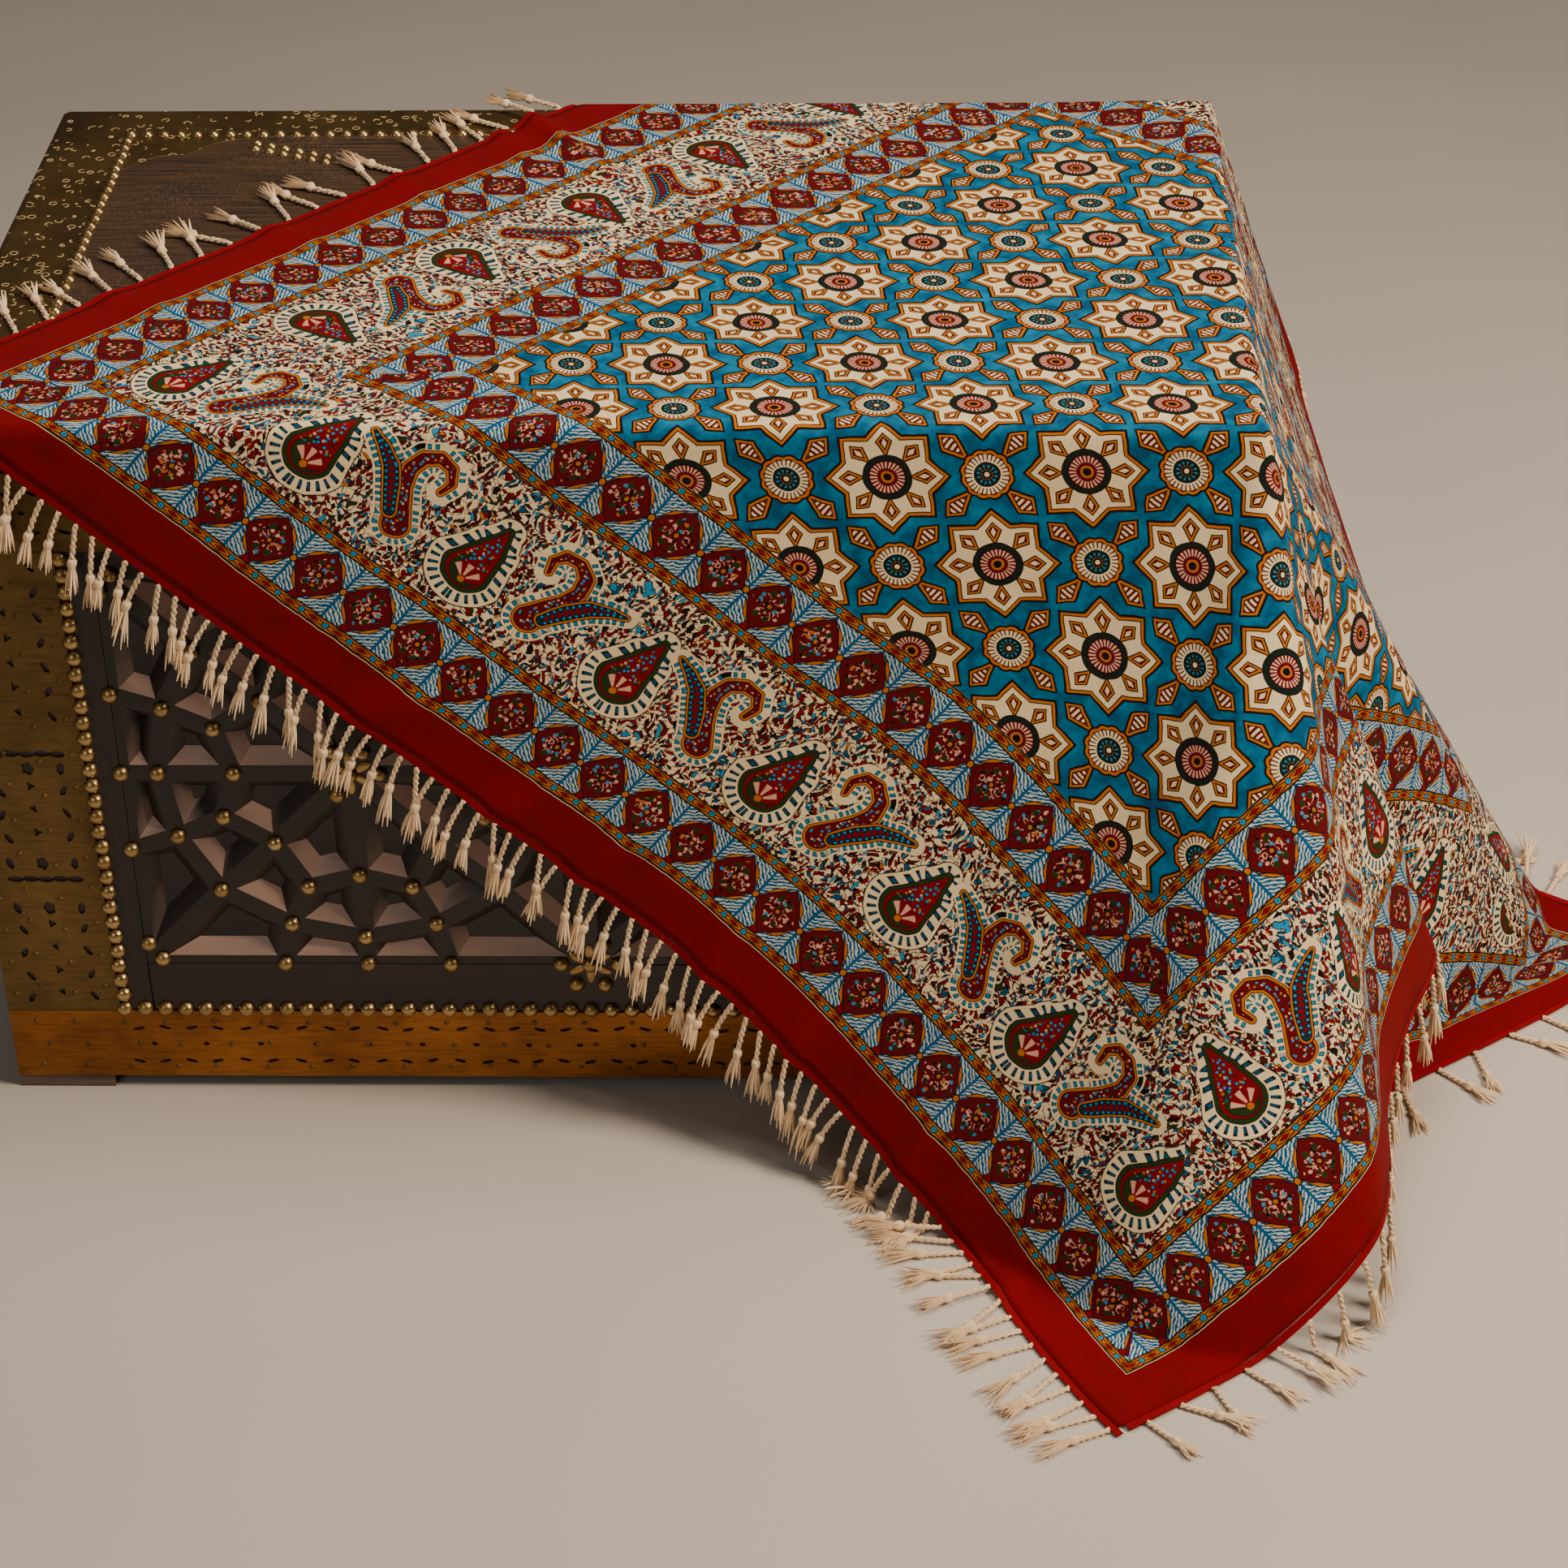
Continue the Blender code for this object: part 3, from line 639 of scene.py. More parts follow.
def drape(flat):
    """Place points of the flat cloth, measured from the lid's front right corner."""
    flat = np.atleast_2d(np.asarray(flat, float))
    x, y = flat[:, 0], flat[:, 1]
    place = np.stack([x, y, np.zeros(len(x))], axis=1)
    over_back = np.maximum(y - FLAT_BACK, 0)
    over_left = np.maximum(FLAT_LEFT - x, 0)
    wave = BACK_WAVE * (1 - np.cos(x / WAVE_RADIUS)) * over_back
    place[:, 0] = np.maximum(x, FLAT_LEFT)
    place[:, 1] = np.minimum(y, FLAT_BACK) + BACK_LEAN * over_back + wave
    place[:, 2] = -over_back - over_left
    hanging = (y < 0) | (x > 0)
    place[hanging] = hang_from_corner(flat[hanging])
    corner = (x > 0) & (y > FLAT_BACK)
    if corner.any():
        turn = flat[corner] - np.array([0, FLAT_BACK])
        reach = np.hypot(turn[:, 0], turn[:, 1])
        angle = np.arctan2(turn[:, 1], turn[:, 0])[:, None]
        zero = np.zeros(len(reach))
        post = np.array([0, FLAT_BACK, 0])
        side = hang_from_corner(np.stack([reach, zero + FLAT_BACK], axis=1)) - post
        back = np.stack([zero, BACK_LEAN * reach, -reach], axis=1)
        bulge = np.array(CORNER_FOLD_WAY) * CORNER_FOLD_OUT * reach[:, None]
        fold = side * np.cos(angle) ** 2 + back * np.sin(angle) ** 2 + bulge * np.sin(2 * angle)
        place[corner] = post + unit(fold) * reach[:, None]
    return place + np.array([EDGE_CLEARANCE, -EDGE_CLEARANCE, MID_TOP])


def print_to_flat(a, b):
    """Print coordinates, in metres from the field's left corner, as flat x and y."""
    da, db = a - CORNER_A, b - CORNER_B
    x = da * math.cos(WEFT_ANGLE) + db * math.cos(WARP_ANGLE)
    y = da * math.sin(WEFT_ANGLE) + db * math.sin(WARP_ANGLE)
    return np.stack([x, y], axis=-1)


# %% [markdown]
# ### Pleats and ripples
# Cotton never lies dead flat. Each row below is one soft ridge, from one place of the print to
# another, with its half-width and height: the pleat at the upper left hem, the ripples in the
# front hem, and the slack that crosses the lid.

# %% Ridges
Ridge = namedtuple("Ridge", "a1 b1 a2 b2 width height")
RIDGES = [
    Ridge(-0.300, 0.335, -0.130, 0.290, 0.010, 0.0080),
    Ridge(-0.300, 0.300, -0.200, 0.262, 0.008, 0.0035),
    Ridge(-0.300, 0.060, -0.190, 0.075, 0.012, 0.0030),
    Ridge(-0.300, 0.190, -0.210, 0.170, 0.010, 0.0030),
    Ridge(-0.295, -0.090, -0.180, -0.060, 0.013, 0.0030),
    Ridge(0.130, -0.300, 0.190, -0.190, 0.014, 0.0050),
    Ridge(0.245, -0.300, 0.280, -0.235, 0.010, 0.0040),
    Ridge(0.330, -0.300, 0.352, -0.170, 0.014, 0.0060),
    Ridge(0.455, -0.300, 0.440, -0.215, 0.012, 0.0060),
    Ridge(0.540, -0.300, 0.535, -0.245, 0.009, 0.0050),
    Ridge(0.660, -0.300, 0.640, -0.200, 0.012, 0.0055),
    Ridge(0.790, -0.300, 0.745, -0.215, 0.012, 0.0040),
    Ridge(0.020, 0.060, 0.260, 0.330, 0.016, 0.0016),
    Ridge(0.130, 0.420, 0.420, 0.520, 0.018, 0.0014),
    Ridge(-0.120, 0.060, 0.080, 0.270, 0.014, 0.0014),
    Ridge(0.180, 0.030, 0.360, 0.250, 0.016, 0.0012),
    Ridge(0.560, -0.040, 0.640, -0.150, 0.020, 0.0030),
    Ridge(0.700, 0.020, 0.760, -0.120, 0.016, 0.0030),
    Ridge(-0.050, 0.640, 0.180, 0.760, 0.016, 0.0020),
]
LID_RIPPLE = 0.0007
HANG_RIPPLE = 0.0022


def relief(a, b, hanging):
    """How far the cloth stands off its rule: the listed ridges and a faint uneven ripple."""
    total = np.zeros(a.shape)
    for row in RIDGES:
        way = np.array([row.a2 - row.a1, row.b2 - row.b1])
        share = ((a - row.a1) * way[0] + (b - row.b1) * way[1]) / (way @ way)
        near = np.clip(share, 0, 1)
        apart = np.hypot(a - row.a1 - near * way[0], b - row.b1 - near * way[1])
        fade = smooth_step(np.clip(1.15 - near, 0, 1))
        total += row.height * fade * np.exp(-(apart / row.width) ** 2)
    slow = np.sin(31 * a + 9 * np.sin(7 * b)) * np.sin(27 * b + 5 * np.sin(11 * a + 1.3))
    quick = np.sin(83 * a - 40 * b + 3 * np.sin(19 * b)) * np.sin(61 * b + 33 * a)
    ripple = (LID_RIPPLE + (HANG_RIPPLE - LID_RIPPLE) * hanging)
    return total + ripple * (0.5 + 0.35 * slow + 0.15 * quick)


# %% [markdown]
# ### The sheet
# A grid is added at the cloth's cut size, its UV map keeps the place in the print, and its points
# are then laid by the rule. Solidify gives it the thickness of a printed cotton.

# %% Make the cloth
GRID_STEP = 0.0058
ROUND_RADIUS = 0.0075
CLOTH_THICK = 0.0010
Ring = namedtuple("Ring", "share points")
DISC = [Ring(0.45, 6), Ring(0.9, 8)]

hem_inset = STRIP_WIDTH + STRIP_GAP
across_a = round((A_HIGH - A_LOW) / GRID_STEP)
across_b = round((B_HIGH - B_LOW) / GRID_STEP)
bpy.ops.object.select_all(action="DESELECT")
bpy.ops.mesh.primitive_grid_add(x_subdivisions=across_a, y_subdivisions=across_b, size=2)
cloth = bpy.context.object
cloth.name = "printed_cloth"
corners = np.array([vertex.co[:2] for vertex in cloth.data.vertices])
half_a, half_b = (A_HIGH - A_LOW) / 2 - hem_inset, (B_HIGH - B_LOW) / 2 - hem_inset
print_a = (A_HIGH + A_LOW) / 2 + corners[:, 0] * half_a
print_b = (B_HIGH + B_LOW) / 2 + corners[:, 1] * half_b


def laid(a, b):
    """The cloth's middle surface under print places: the rule, rounded over a small disc."""
    flat = print_to_flat(a, b)
    total = drape(flat)
    count = 1
    for ring in DISC:
        for k in range(ring.points):
            turn = 2 * math.pi * k / ring.points
            shift = np.array([math.cos(turn), math.sin(turn)]) * ROUND_RADIUS * ring.share
            total = total + drape(flat + shift)
            count += 1
    return total / count


def cloth_surface(a, b):
    """The finished surface: the rule, with ridges raised along its own outward way."""
    middle = laid(a, b)
    nudge = 0.002
    side_a = laid(a + nudge, b) - laid(a - nudge, b)
    side_b = laid(a, b + nudge) - laid(a, b - nudge)
    outward = unit(np.cross(side_a, side_b))
    hanging = smooth_step((MID_TOP - middle[:, 2]) / 0.05)
    return middle + outward * relief(a, b, hanging)[:, None]


places = cloth_surface(print_a, print_b)
print_map = cloth.data.uv_layers.active
print_map.name = "print"
loop_vertex = np.zeros(len(cloth.data.loops), np.int32)
cloth.data.loops.foreach_get("vertex_index", loop_vertex)
print_places = np.stack([print_a, print_b], axis=1)[loop_vertex]
print_map.data.foreach_set("uv", print_places.ravel().astype(np.float32))
cloth.data.vertices.foreach_set("co", places.astype(np.float32).ravel())
cloth.data.update()
thick = cloth.modifiers.new("thickness", "SOLIDIFY")
thick.thickness = CLOTH_THICK
thick.offset = 0.0
thick.use_even_offset = False
apply_all(cloth)
print("cloth", across_a, "by", across_b, "squares")


# %% [markdown]
# ## The print
# The blocks are cut in pear wood and stamped in four inks on cream cotton: an iron black line,
# then crimson, blue and ochre. Each block below is a group of its own: the star block, the narrow
# ochre line, the diamond row and the paisley block. They are drawn as distances, so that a line
# around a shape is the same distance cut at another value, as a block cutter follows an outline.

# %% Inks
CRIMSON = ink(132, 0, 12)
DEEP_CRIMSON = ink(100, 0, 10)
OCHRE = ink(206, 112, 0)
TEAL = ink(0, 84, 124)
LIGHT_TEAL = ink(0, 136, 178)
SKY = ink(20, 150, 200)
FERN_BLUE = ink(0, 88, 136)
NAVY = ink(0, 34, 52)
PALE = ink(206, 216, 206)
CREAM = ink(255, 228, 180)
BLUSH = ink(242, 178, 150)
BLACK = ink(14, 10, 10)
GREEN = ink(34, 56, 20)
DARK_GREEN = ink(14, 34, 26)
BROWN = ink(74, 8, 10)
HEM_DARK = ink(104, 0, 8)
HEM_BRIGHT = ink(140, 0, 14)
LINE_SOFT = 0.0004
UNIT_SOFT = LINE_SOFT / PITCH_A
MM_SOFT = 0.4


# %% Star block
STAR_A = -0.010
STAR_B = 0.0036
STAR_TIP = 0.432
OUTLINE = 0.018
HALF_SQUARE = math.sqrt(0.5)


def star_block():
    desk, (a, b) = open_group("star block", a="number", b="number")
    u = abs(desk.fold(a - STAR_A, PITCH_A) * (1 / PITCH_A))
    v = abs(desk.fold(b - STAR_B, PITCH_B) * (1 / PITCH_B))
    spot = desk.point(a, b)
    stain = desk.noise(spot, 55.0, 2.0, 0.6, flat=True)
    colour = desk.paint(TEAL, LIGHT_TEAL, desk.levels(stain, 2.2, -0.75))

    def lay(ink_colour, distance):
        nonlocal colour
        colour = desk.paint(colour, ink_colour, desk.inside(distance, UNIT_SOFT))

    # Striped kites stand on the small rosette between four stars.
    ru, rv = 0.5 - u, 0.5 - v
    far, near = desk.most(ru, rv), desk.least(ru, rv)
    kite = near - desk.least(desk.maths("MULTIPLY_ADD", far, 0.40, -0.066),
                             desk.maths("MULTIPLY_ADD", far, -0.80, 0.358))
    lay(BLACK, kite - OUTLINE)
    lay(OCHRE, kite)
    lay(BLACK, kite + OUTLINE)
    lay(DEEP_CRIMSON, kite + 0.026)
    stripes = desk.maths("SINE", desk.maths("MULTIPLY_ADD", desk.length(ru, rv), 165.0, 0.6))
    striped = desk.both(desk.inside(kite + 0.030, UNIT_SOFT),
                        desk.levels(stripes, 3.0, 0.5))
    colour = desk.paint(colour, CREAM, striped)

    # The small rosette: a scalloped ochre edge, a ring of petals and a dotted heart.
    reach = desk.length(ru, rv)
    turn = desk.maths("ARCTAN2", rv, ru)
    scallop = abs(desk.maths("COSINE", turn * 6.0))
    rim = reach - desk.maths("MULTIPLY_ADD", scallop, 0.014, 0.172)
    lay(BLACK, rim - 0.017)
    lay(OCHRE, rim)
    lay(DEEP_CRIMSON, rim + 0.020)
    petals = desk.maths("COSINE", turn * 28.0)
    lay(CREAM, reach - 0.152)
    strokes = desk.levels(petals, 2.6, -0.7)
    petal_ring = desk.inside(abs(reach - 0.133) - 0.026, UNIT_SOFT)
    colour = desk.paint(colour, BROWN, desk.both(strokes, petal_ring))
    lay(BLACK, reach - 0.097)
    lay(DARK_GREEN, reach - 0.090)
    dots = desk.levels(desk.maths("COSINE", turn * 12.0), 3.0, -0.9)
    colour = desk.paint(colour, SKY, desk.both(dots, desk.inside(abs(reach - 0.064) - 0.010, UNIT_SOFT)))
    lay(OCHRE, desk.both(dots, reach) * -1.0 + abs(reach - 0.038) * 3.0 + 0.028)
    lay(BLACK, reach - 0.027)
    lay(CREAM, reach - 0.018)

    # The star: two squares laid over each other, an ochre edge between black lines, cream within.
    star_reach = desk.length(u, v)
    star_turn = desk.maths("ARCTAN2", v, u)
    off = abs(desk.fold(star_turn, math.pi / 4))
    x = star_reach * desk.maths("COSINE", off)
    y = star_reach * desk.maths("SINE", off)
    edge = desk.maths("MULTIPLY_ADD", x + y, HALF_SQUARE, -HALF_SQUARE * STAR_TIP)
    lay(BLACK, edge - OUTLINE)
    lay(OCHRE, edge)
    lay(BLACK, edge + OUTLINE)
    lay(CREAM, edge + 0.027)
    small = y - desk.least(desk.maths("MULTIPLY_ADD", x, 0.50, -0.086),
                           desk.maths("MULTIPLY_ADD", x, -0.86, 0.288))
    lay(BLACK, small - 0.012)
    lay(OCHRE, small)
    lay(BLACK, small + 0.014)
    lay(DEEP_CRIMSON, small + 0.021)
    lay(CREAM, desk.maths("MULTIPLY_ADD", abs(x - 0.262), 0.46, y) - 0.018)
    lay(BLACK, star_reach - 0.177)
    lay(DARK_GREEN, star_reach - 0.168)
    lay(BLACK, star_reach - 0.134)
    lay(DEEP_CRIMSON, star_reach - 0.126)
    petals = desk.levels(desk.maths("COSINE", star_turn * 24.0), 2.6, 0.5)
    colour = desk.paint(colour, BLUSH, desk.both(petals, desk.inside(star_reach - 0.121, UNIT_SOFT)))
    lay(DEEP_CRIMSON, star_reach - 0.072)
    lay(OCHRE, star_reach - 0.046)
    lay(BLACK, star_reach - 0.030)
    return close_group(desk, Color=("colour", colour))


# %% Ochre line and diamond row
LINE_WIDTH = 0.009
LINE_REPEAT = 0.020
ROW_HEIGHT = 0.0485
ROW_REPEAT = 0.0415


def ochre_line():
    """Ochre between black edges, with crimson lozenges and small blue flowers in turn."""
    desk, (along, across) = open_group("ochre line", along="number", across="number")
    colour = OCHRE
    p = abs(desk.fold(along, LINE_REPEAT))

    def lay(ink_colour, distance):
        nonlocal colour
        colour = desk.paint(colour, ink_colour, desk.inside(distance, LINE_SOFT))

    twist = abs(across - desk.maths("MULTIPLY_ADD", p, -0.22, 0.0029)) - 0.00045
    lay(BLACK, twist)
    lozenge = desk.maths("MULTIPLY_ADD", p, 0.42, across) - 0.0017
    lay(BLACK, lozenge - 0.0005)
    lay(CRIMSON, lozenge)
    flower = desk.length(p - LINE_REPEAT / 2, across)
    lay(BLACK, flower - 0.0027)
    lay(SKY, flower - 0.0020)
    lay(BLACK, flower - 0.0005)
    lay(BLACK, (LINE_WIDTH / 2 - 0.0013) - across)
    return close_group(desk, Color=("colour", colour))


def diamond_row():
    """Crimson diamonds with ochre leaves on their sides, and fern strokes between them."""
    desk, (along, across) = open_group("diamond row", along="number", across="number")
    signed_x = desk.fold(along, ROW_REPEAT) * (1 / ROW_REPEAT)
    signed_y = across * (1 / ROW_HEIGHT)
    x, y = abs(signed_x), abs(signed_y)
    soft = LINE_SOFT / ROW_REPEAT
    gap = 0.5 - x
    spot = desk.point(along, across)
    waver = desk.noise(spot, 260.0, 1.0, flat=True) * 7.0
    comb = desk.maths("SINE", desk.maths("MULTIPLY_ADD", y, 92.0, gap * -62.0 + waver))
    colour = desk.paint(FERN_BLUE, PALE, desk.levels(comb, 2.6, 0.25))

    def lay(ink_colour, distance):
        nonlocal colour
        colour = desk.paint(colour, ink_colour, desk.inside(distance, soft))

    lay(FERN_BLUE, gap - 0.026)

    # Ochre leaves lie along the sides, and a crimson foot runs out to the hem side.
    swell = desk.maths("COSINE", (x - y) * 6.0)
    side = desk.maths("MULTIPLY_ADD", swell, -0.018, x + y - 0.468)
    leaf = desk.maths("MULTIPLY_ADD", abs(x - y), 0.16, abs(side - 0.052)) - 0.040
    lay(BLACK, leaf - 0.022)
    lay(OCHRE, leaf)
    foot = desk.most(abs(signed_x + (signed_y - 0.30) * 0.50) - 0.075, 0.30 - signed_y)
    lay(BLACK, foot - 0.022)
    lay(CRIMSON, foot)
    lay(BLACK, side - 0.026)
    lay(DEEP_CRIMSON, side)

    # Inside are sprigs: pale strokes like a flower's rays, green leaves and blue and ochre dots.
    turn = desk.maths("ARCTAN2", y, x)
    reach = desk.length(x, y)
    rays = desk.levels(desk.maths("COSINE", turn * 8.0 + waver * 1.5), 3.0, -1.7)
    ray_band = desk.inside(abs(reach - 0.165) - 0.075, soft)
    colour = desk.paint(colour, BLUSH, desk.both(rays, ray_band))
    away, chosen = desk.cells(spot, 205.0, flat=True)
    buds = desk.steps(desk.red(chosen), [
        (0.0, DEEP_CRIMSON), (0.24, GREEN), (0.40, BLUSH), (0.56, SKY), (0.70, OCHRE), (0.78, BLACK)])
    sprig = desk.both(desk.inside(away - 0.29, 0.10), desk.inside(side + 0.10, soft))
    colour = desk.paint(colour, buds, sprig)
    lay(GREEN, desk.length(x - 0.10, y - 0.20) - 0.050)
    lay(BLACK, reach - 0.060)
    lay(OCHRE, reach - 0.036)
    knot = desk.length(gap, y)
    lay(BLACK, knot - 0.070)
    lay(OCHRE, knot - 0.048)
    return close_group(desk, Color=("colour", colour))


# %% [markdown]
# ### The paisley block
# Two boteh, or paisleys, take turns. One is a plain drop. The other curls over like a bent
# cypress and has a second, blue one laid on it. A paisley is a row of round strokes that shrink
# towards its tip, so each row of a table is one point of its middle line, with its half-width.

# %% Paisley block
PAISLEY_REPEAT = 133.6
Stroke = namedtuple("Stroke", "along out half")
DROP_STROKES = [Stroke(-3, 79.4, 15.5), Stroke(1, 59.5, 8.6), Stroke(3.5, 37.5, 0.4)]
CURL_STROKES = [
    Stroke(51, 83.5, 9.0), Stroke(57, 70, 6.4), Stroke(63, 57.5, 4.8), Stroke(67, 44, 4.2),
    Stroke(64.5, 32.5, 3.8), Stroke(55.5, 25.3, 3.1), Stroke(44.5, 26, 2.4), Stroke(38.6, 34.5, 1.6),
    Stroke(41, 44.5, 0.9),
]
OVERLAY_STROKES = [
    Stroke(60, 78, 3.8), Stroke(69, 63.3, 5.0), Stroke(79, 50.2, 4.5), Stroke(91, 43, 3.0),
    Stroke(103, 38, 0.6),
]
MIRROR_AT = -5.5


def brush(desk, spot, strokes):
    """Distance to a row of strokes, and how far along the row the nearest place is."""
    best, travel, behind = None, None, 0.0
    for start, end in zip(strokes, strokes[1:]):
        dx, dy = end.along - start.along, end.out - start.out
        square = dx * dx + dy * dy
        dot = desk.arrow("DOT_PRODUCT", spot, (dx / square, dy / square, 0.0), output="Value")
        offset = -(start.along * dx + start.out * dy) / square
        share = desk.maths("ADD", dot, offset, clamp=True)
        nearest = desk.arrow("MULTIPLY_ADD", share, (dx, dy, 0.0), (start.along, start.out, 0.0))
        apart = desk.arrow("DISTANCE", spot, nearest, output="Value")
        distance = desk.maths("MULTIPLY_ADD", share, start.half - end.half, apart) - start.half
        run = desk.maths("MULTIPLY_ADD", share, math.sqrt(square), behind)
        behind += math.sqrt(square)
        if best is None:
            best, travel = distance, run
            continue
        nearer = desk.maths("LESS_THAN", distance, best)
        best = desk.least(best, distance)
        travel = desk.maths("MULTIPLY_ADD", nearer, run - travel, travel)
    return best, travel


def paisley_block():
    desk, (along, out, hide) = open_group("paisley block", along="number", out="number", hide="number")
    along_mm, out_mm = along * 1000.0, out * 1000.0
    spot = desk.point(along_mm, out_mm)
    colour = CREAM

    def lay(ink_colour, distance, soft=MM_SOFT):
        nonlocal colour
        colour = desk.paint(colour, ink_colour, desk.inside(distance, soft))

    # The ground between them is filled with tendrils, leaves and buds.
    bent = desk.noise(spot, 0.055, 1.0, output="Color", flat=True)
    swirl = desk.arrow("MULTIPLY_ADD", bent, (13.0, 13.0, 0.0), spot)
    vines = abs(desk.noise(spot, 0.115, 1.0, flat=True) - 0.5) - 0.024
    colour = desk.paint(colour, BROWN, desk.inside(vines, 0.012))
    buds, bud_pick = desk.cells(desk.arrow("MULTIPLY", swirl, (0.17, 0.25, 1.0)), 1.0, 1.0, "MANHATTAN", flat=True)
    bud_ink = desk.steps(desk.red(bud_pick), [
        (0.0, CRIMSON), (0.32, BROWN), (0.48, BLACK), (0.60, CREAM), (0.72, OCHRE), (0.80, TEAL)])
    colour = desk.paint(colour, BLACK, desk.inside(buds - 0.42, 0.06))
    colour = desk.paint(colour, bud_ink, desk.inside(buds - 0.31, 0.06))
    leaves, leaf_pick = desk.cells(desk.arrow("MULTIPLY", swirl, (0.26, 0.11, 1.0)), 1.0, 1.0, "MANHATTAN", flat=True)
    leaf_ink = desk.steps(desk.red(leaf_pick), [
        (0.0, CRIMSON), (0.34, BROWN), (0.50, TEAL), (0.64, GREEN), (0.74, BLACK), (0.86, SKY)])
    colour = desk.paint(colour, BLACK, desk.inside(leaves - 0.44, 0.05))
    colour = desk.paint(colour, leaf_ink, desk.inside(leaves - 0.33, 0.05))

    # The drop: a toothed cream halo, a green edge, and flowers on crimson.
    drop_spot = desk.point(desk.fold(along_mm, PAISLEY_REPEAT), out_mm)
    drop, run = brush(desk, drop_spot, DROP_STROKES)
    narrowing = desk.maths("MULTIPLY_ADD", run, 0.10, drop)
    lay(BLACK, narrowing - 15.6)
    lay(CREAM, narrowing - 14.8)
    near = desk.arrow("MULTIPLY_ADD", run * (1 / 42.4), (6.5, -41.9, 0.0), (-3.0, 79.4, 0.0))
    dx, dy, _ = desk.split(desk.arrow("SUBTRACT", drop_spot, near))
    bars_round = desk.maths("MULTIPLY_ADD", run, -0.40, 24.0)
    teeth = desk.maths("SINE", desk.maths("MULTIPLY_ADD", abs(desk.maths("ARCTAN2", dx, dy)), bars_round,
                                          run * 1.25))
    tooth = desk.levels(teeth, 2.4, -0.1)
    bars = desk.both(tooth, desk.inside(abs(narrowing - 8.9) - 3.7, MM_SOFT))
    colour = desk.paint(colour, BLACK, bars)
    core = desk.both(desk.levels(teeth, 4.0, -2.6),
                     desk.inside(abs(narrowing - 8.4) - 2.2, MM_SOFT))
    colour = desk.paint(colour, TEAL, core)
    lay(BLACK, drop - 3.9)
    lay(GREEN, drop - 3.2)
    lay(BLACK, drop - 0.5)
    lay(CRIMSON, drop)
    sx, sy, _ = desk.split(drop_spot)
    moon = desk.most(desk.length(sx + 2.5, sy - 81.0) - 12.4, 11.2 - desk.length(sx - 1.0, sy - 78.5))
    lay(BLACK, moon - 0.6)
    lay(GREEN, moon)
    petal_turn = desk.maths("ARCTAN2", sx + 2.0, 88.5 - sy)
    petal_reach = desk.length(sx + 2.0, sy - 88.5)
    fan = desk.maths("COSINE", petal_turn * 8.0)
    fan_edge = desk.most(abs(petal_reach - 8.2) - 4.8, abs(petal_turn) - 1.15)
    lotus = desk.both(desk.levels(fan, 3.0, 0.2), desk.inside(fan_edge, MM_SOFT))
    colour = desk.paint(colour, BLUSH, lotus)
    lay(OCHRE, desk.length(sx + 2.0, sy - 88.8) - 2.6)
    specks, speck_pick = desk.cells(drop_spot, 0.26, 0.7, flat=True)
    speck_ink = desk.steps(desk.red(speck_pick), [
        (0.0, SKY), (0.40, OCHRE), (0.58, DEEP_CRIMSON), (0.68, SKY), (0.90, BLUSH)])
    upper = desk.both(desk.inside(drop + 2.0, MM_SOFT), desk.maths("LESS_THAN", sy, 75.0))
    colour = desk.paint(colour, BLACK, desk.both(desk.inside(specks - 0.38, 0.06), upper))
    colour = desk.paint(colour, speck_ink, desk.both(desk.inside(specks - 0.28, 0.06), upper))

    # The curl: a dotted halo, an ochre line between black ones, and the blue one laid on it.
    pair = desk.fold(along_mm, 2 * PAISLEY_REPEAT)
    curl_along = abs(pair - MIRROR_AT) + MIRROR_AT
    curl_spot = desk.point(curl_along, desk.maths("MULTIPLY_ADD", hide, 1000.0, out_mm))
    curl, run = brush(desk, curl_spot, CURL_STROKES)
    overlay, overlay_run = brush(desk, curl_spot, OVERLAY_STROKES)
    halo = desk.least(curl, overlay + 1.2)
    cx, cy, _ = desk.split(curl_spot)
    round_end = desk.maths("ARCTAN2", abs(cx - 50.0), cy - 86.0) * -12.0
    both_run = desk.maths("MULTIPLY_ADD", desk.maths("LESS_THAN", overlay, curl), overlay_run - run, run)
    along_run = desk.maths("MULTIPLY_ADD", desk.inside(both_run - 1.5, 3.0), round_end, both_run)
    lay(CREAM, halo - 8.8)
    beat = desk.maths("SINE", along_run * (2 * math.pi / 5.2))
    bead_row = abs(halo - 5.3)
    bead = desk.both(desk.levels(beat, 4.0, 1.3), desk.inside(bead_row - 2.1, MM_SOFT))
    colour = desk.paint(colour, BLACK, bead)
    bead = desk.both(desk.levels(beat, 4.0, -0.9), desk.inside(bead_row - 1.4, MM_SOFT))
    colour = desk.paint(colour, LIGHT_TEAL, bead)
    lay(BLACK, curl - 2.7)
    lay(OCHRE, curl - 2.0)
    lay(BLACK, curl - 0.5)
    lay(DEEP_CRIMSON, curl)
    specks, speck_pick = desk.cells(curl_spot, 0.30, 0.7, flat=True)
    speck_ink = desk.steps(desk.red(speck_pick), [
        (0.0, SKY), (0.44, OCHRE), (0.58, DEEP_CRIMSON), (0.82, BLUSH)])
    colour = desk.paint(colour, speck_ink, desk.both(desk.inside(specks - 0.28, 0.06),
                                                     desk.inside(curl + 1.2, MM_SOFT)))
    lay(BLACK, overlay - 2.6)
    lay(OCHRE, overlay - 1.9)
    lay(BLACK, overlay - 0.6)
    lay(NAVY, overlay)
    chain = desk.maths("SINE", overlay_run * (2 * math.pi / 4.6))
    lay(SKY, desk.maths("MULTIPLY_ADD", chain, -1.1, abs(overlay + 1.2)))
    lay(CRIMSON, desk.maths("MULTIPLY_ADD", chain, 1.3, overlay + 3.2))
    return close_group(desk, Color=("colour", colour))


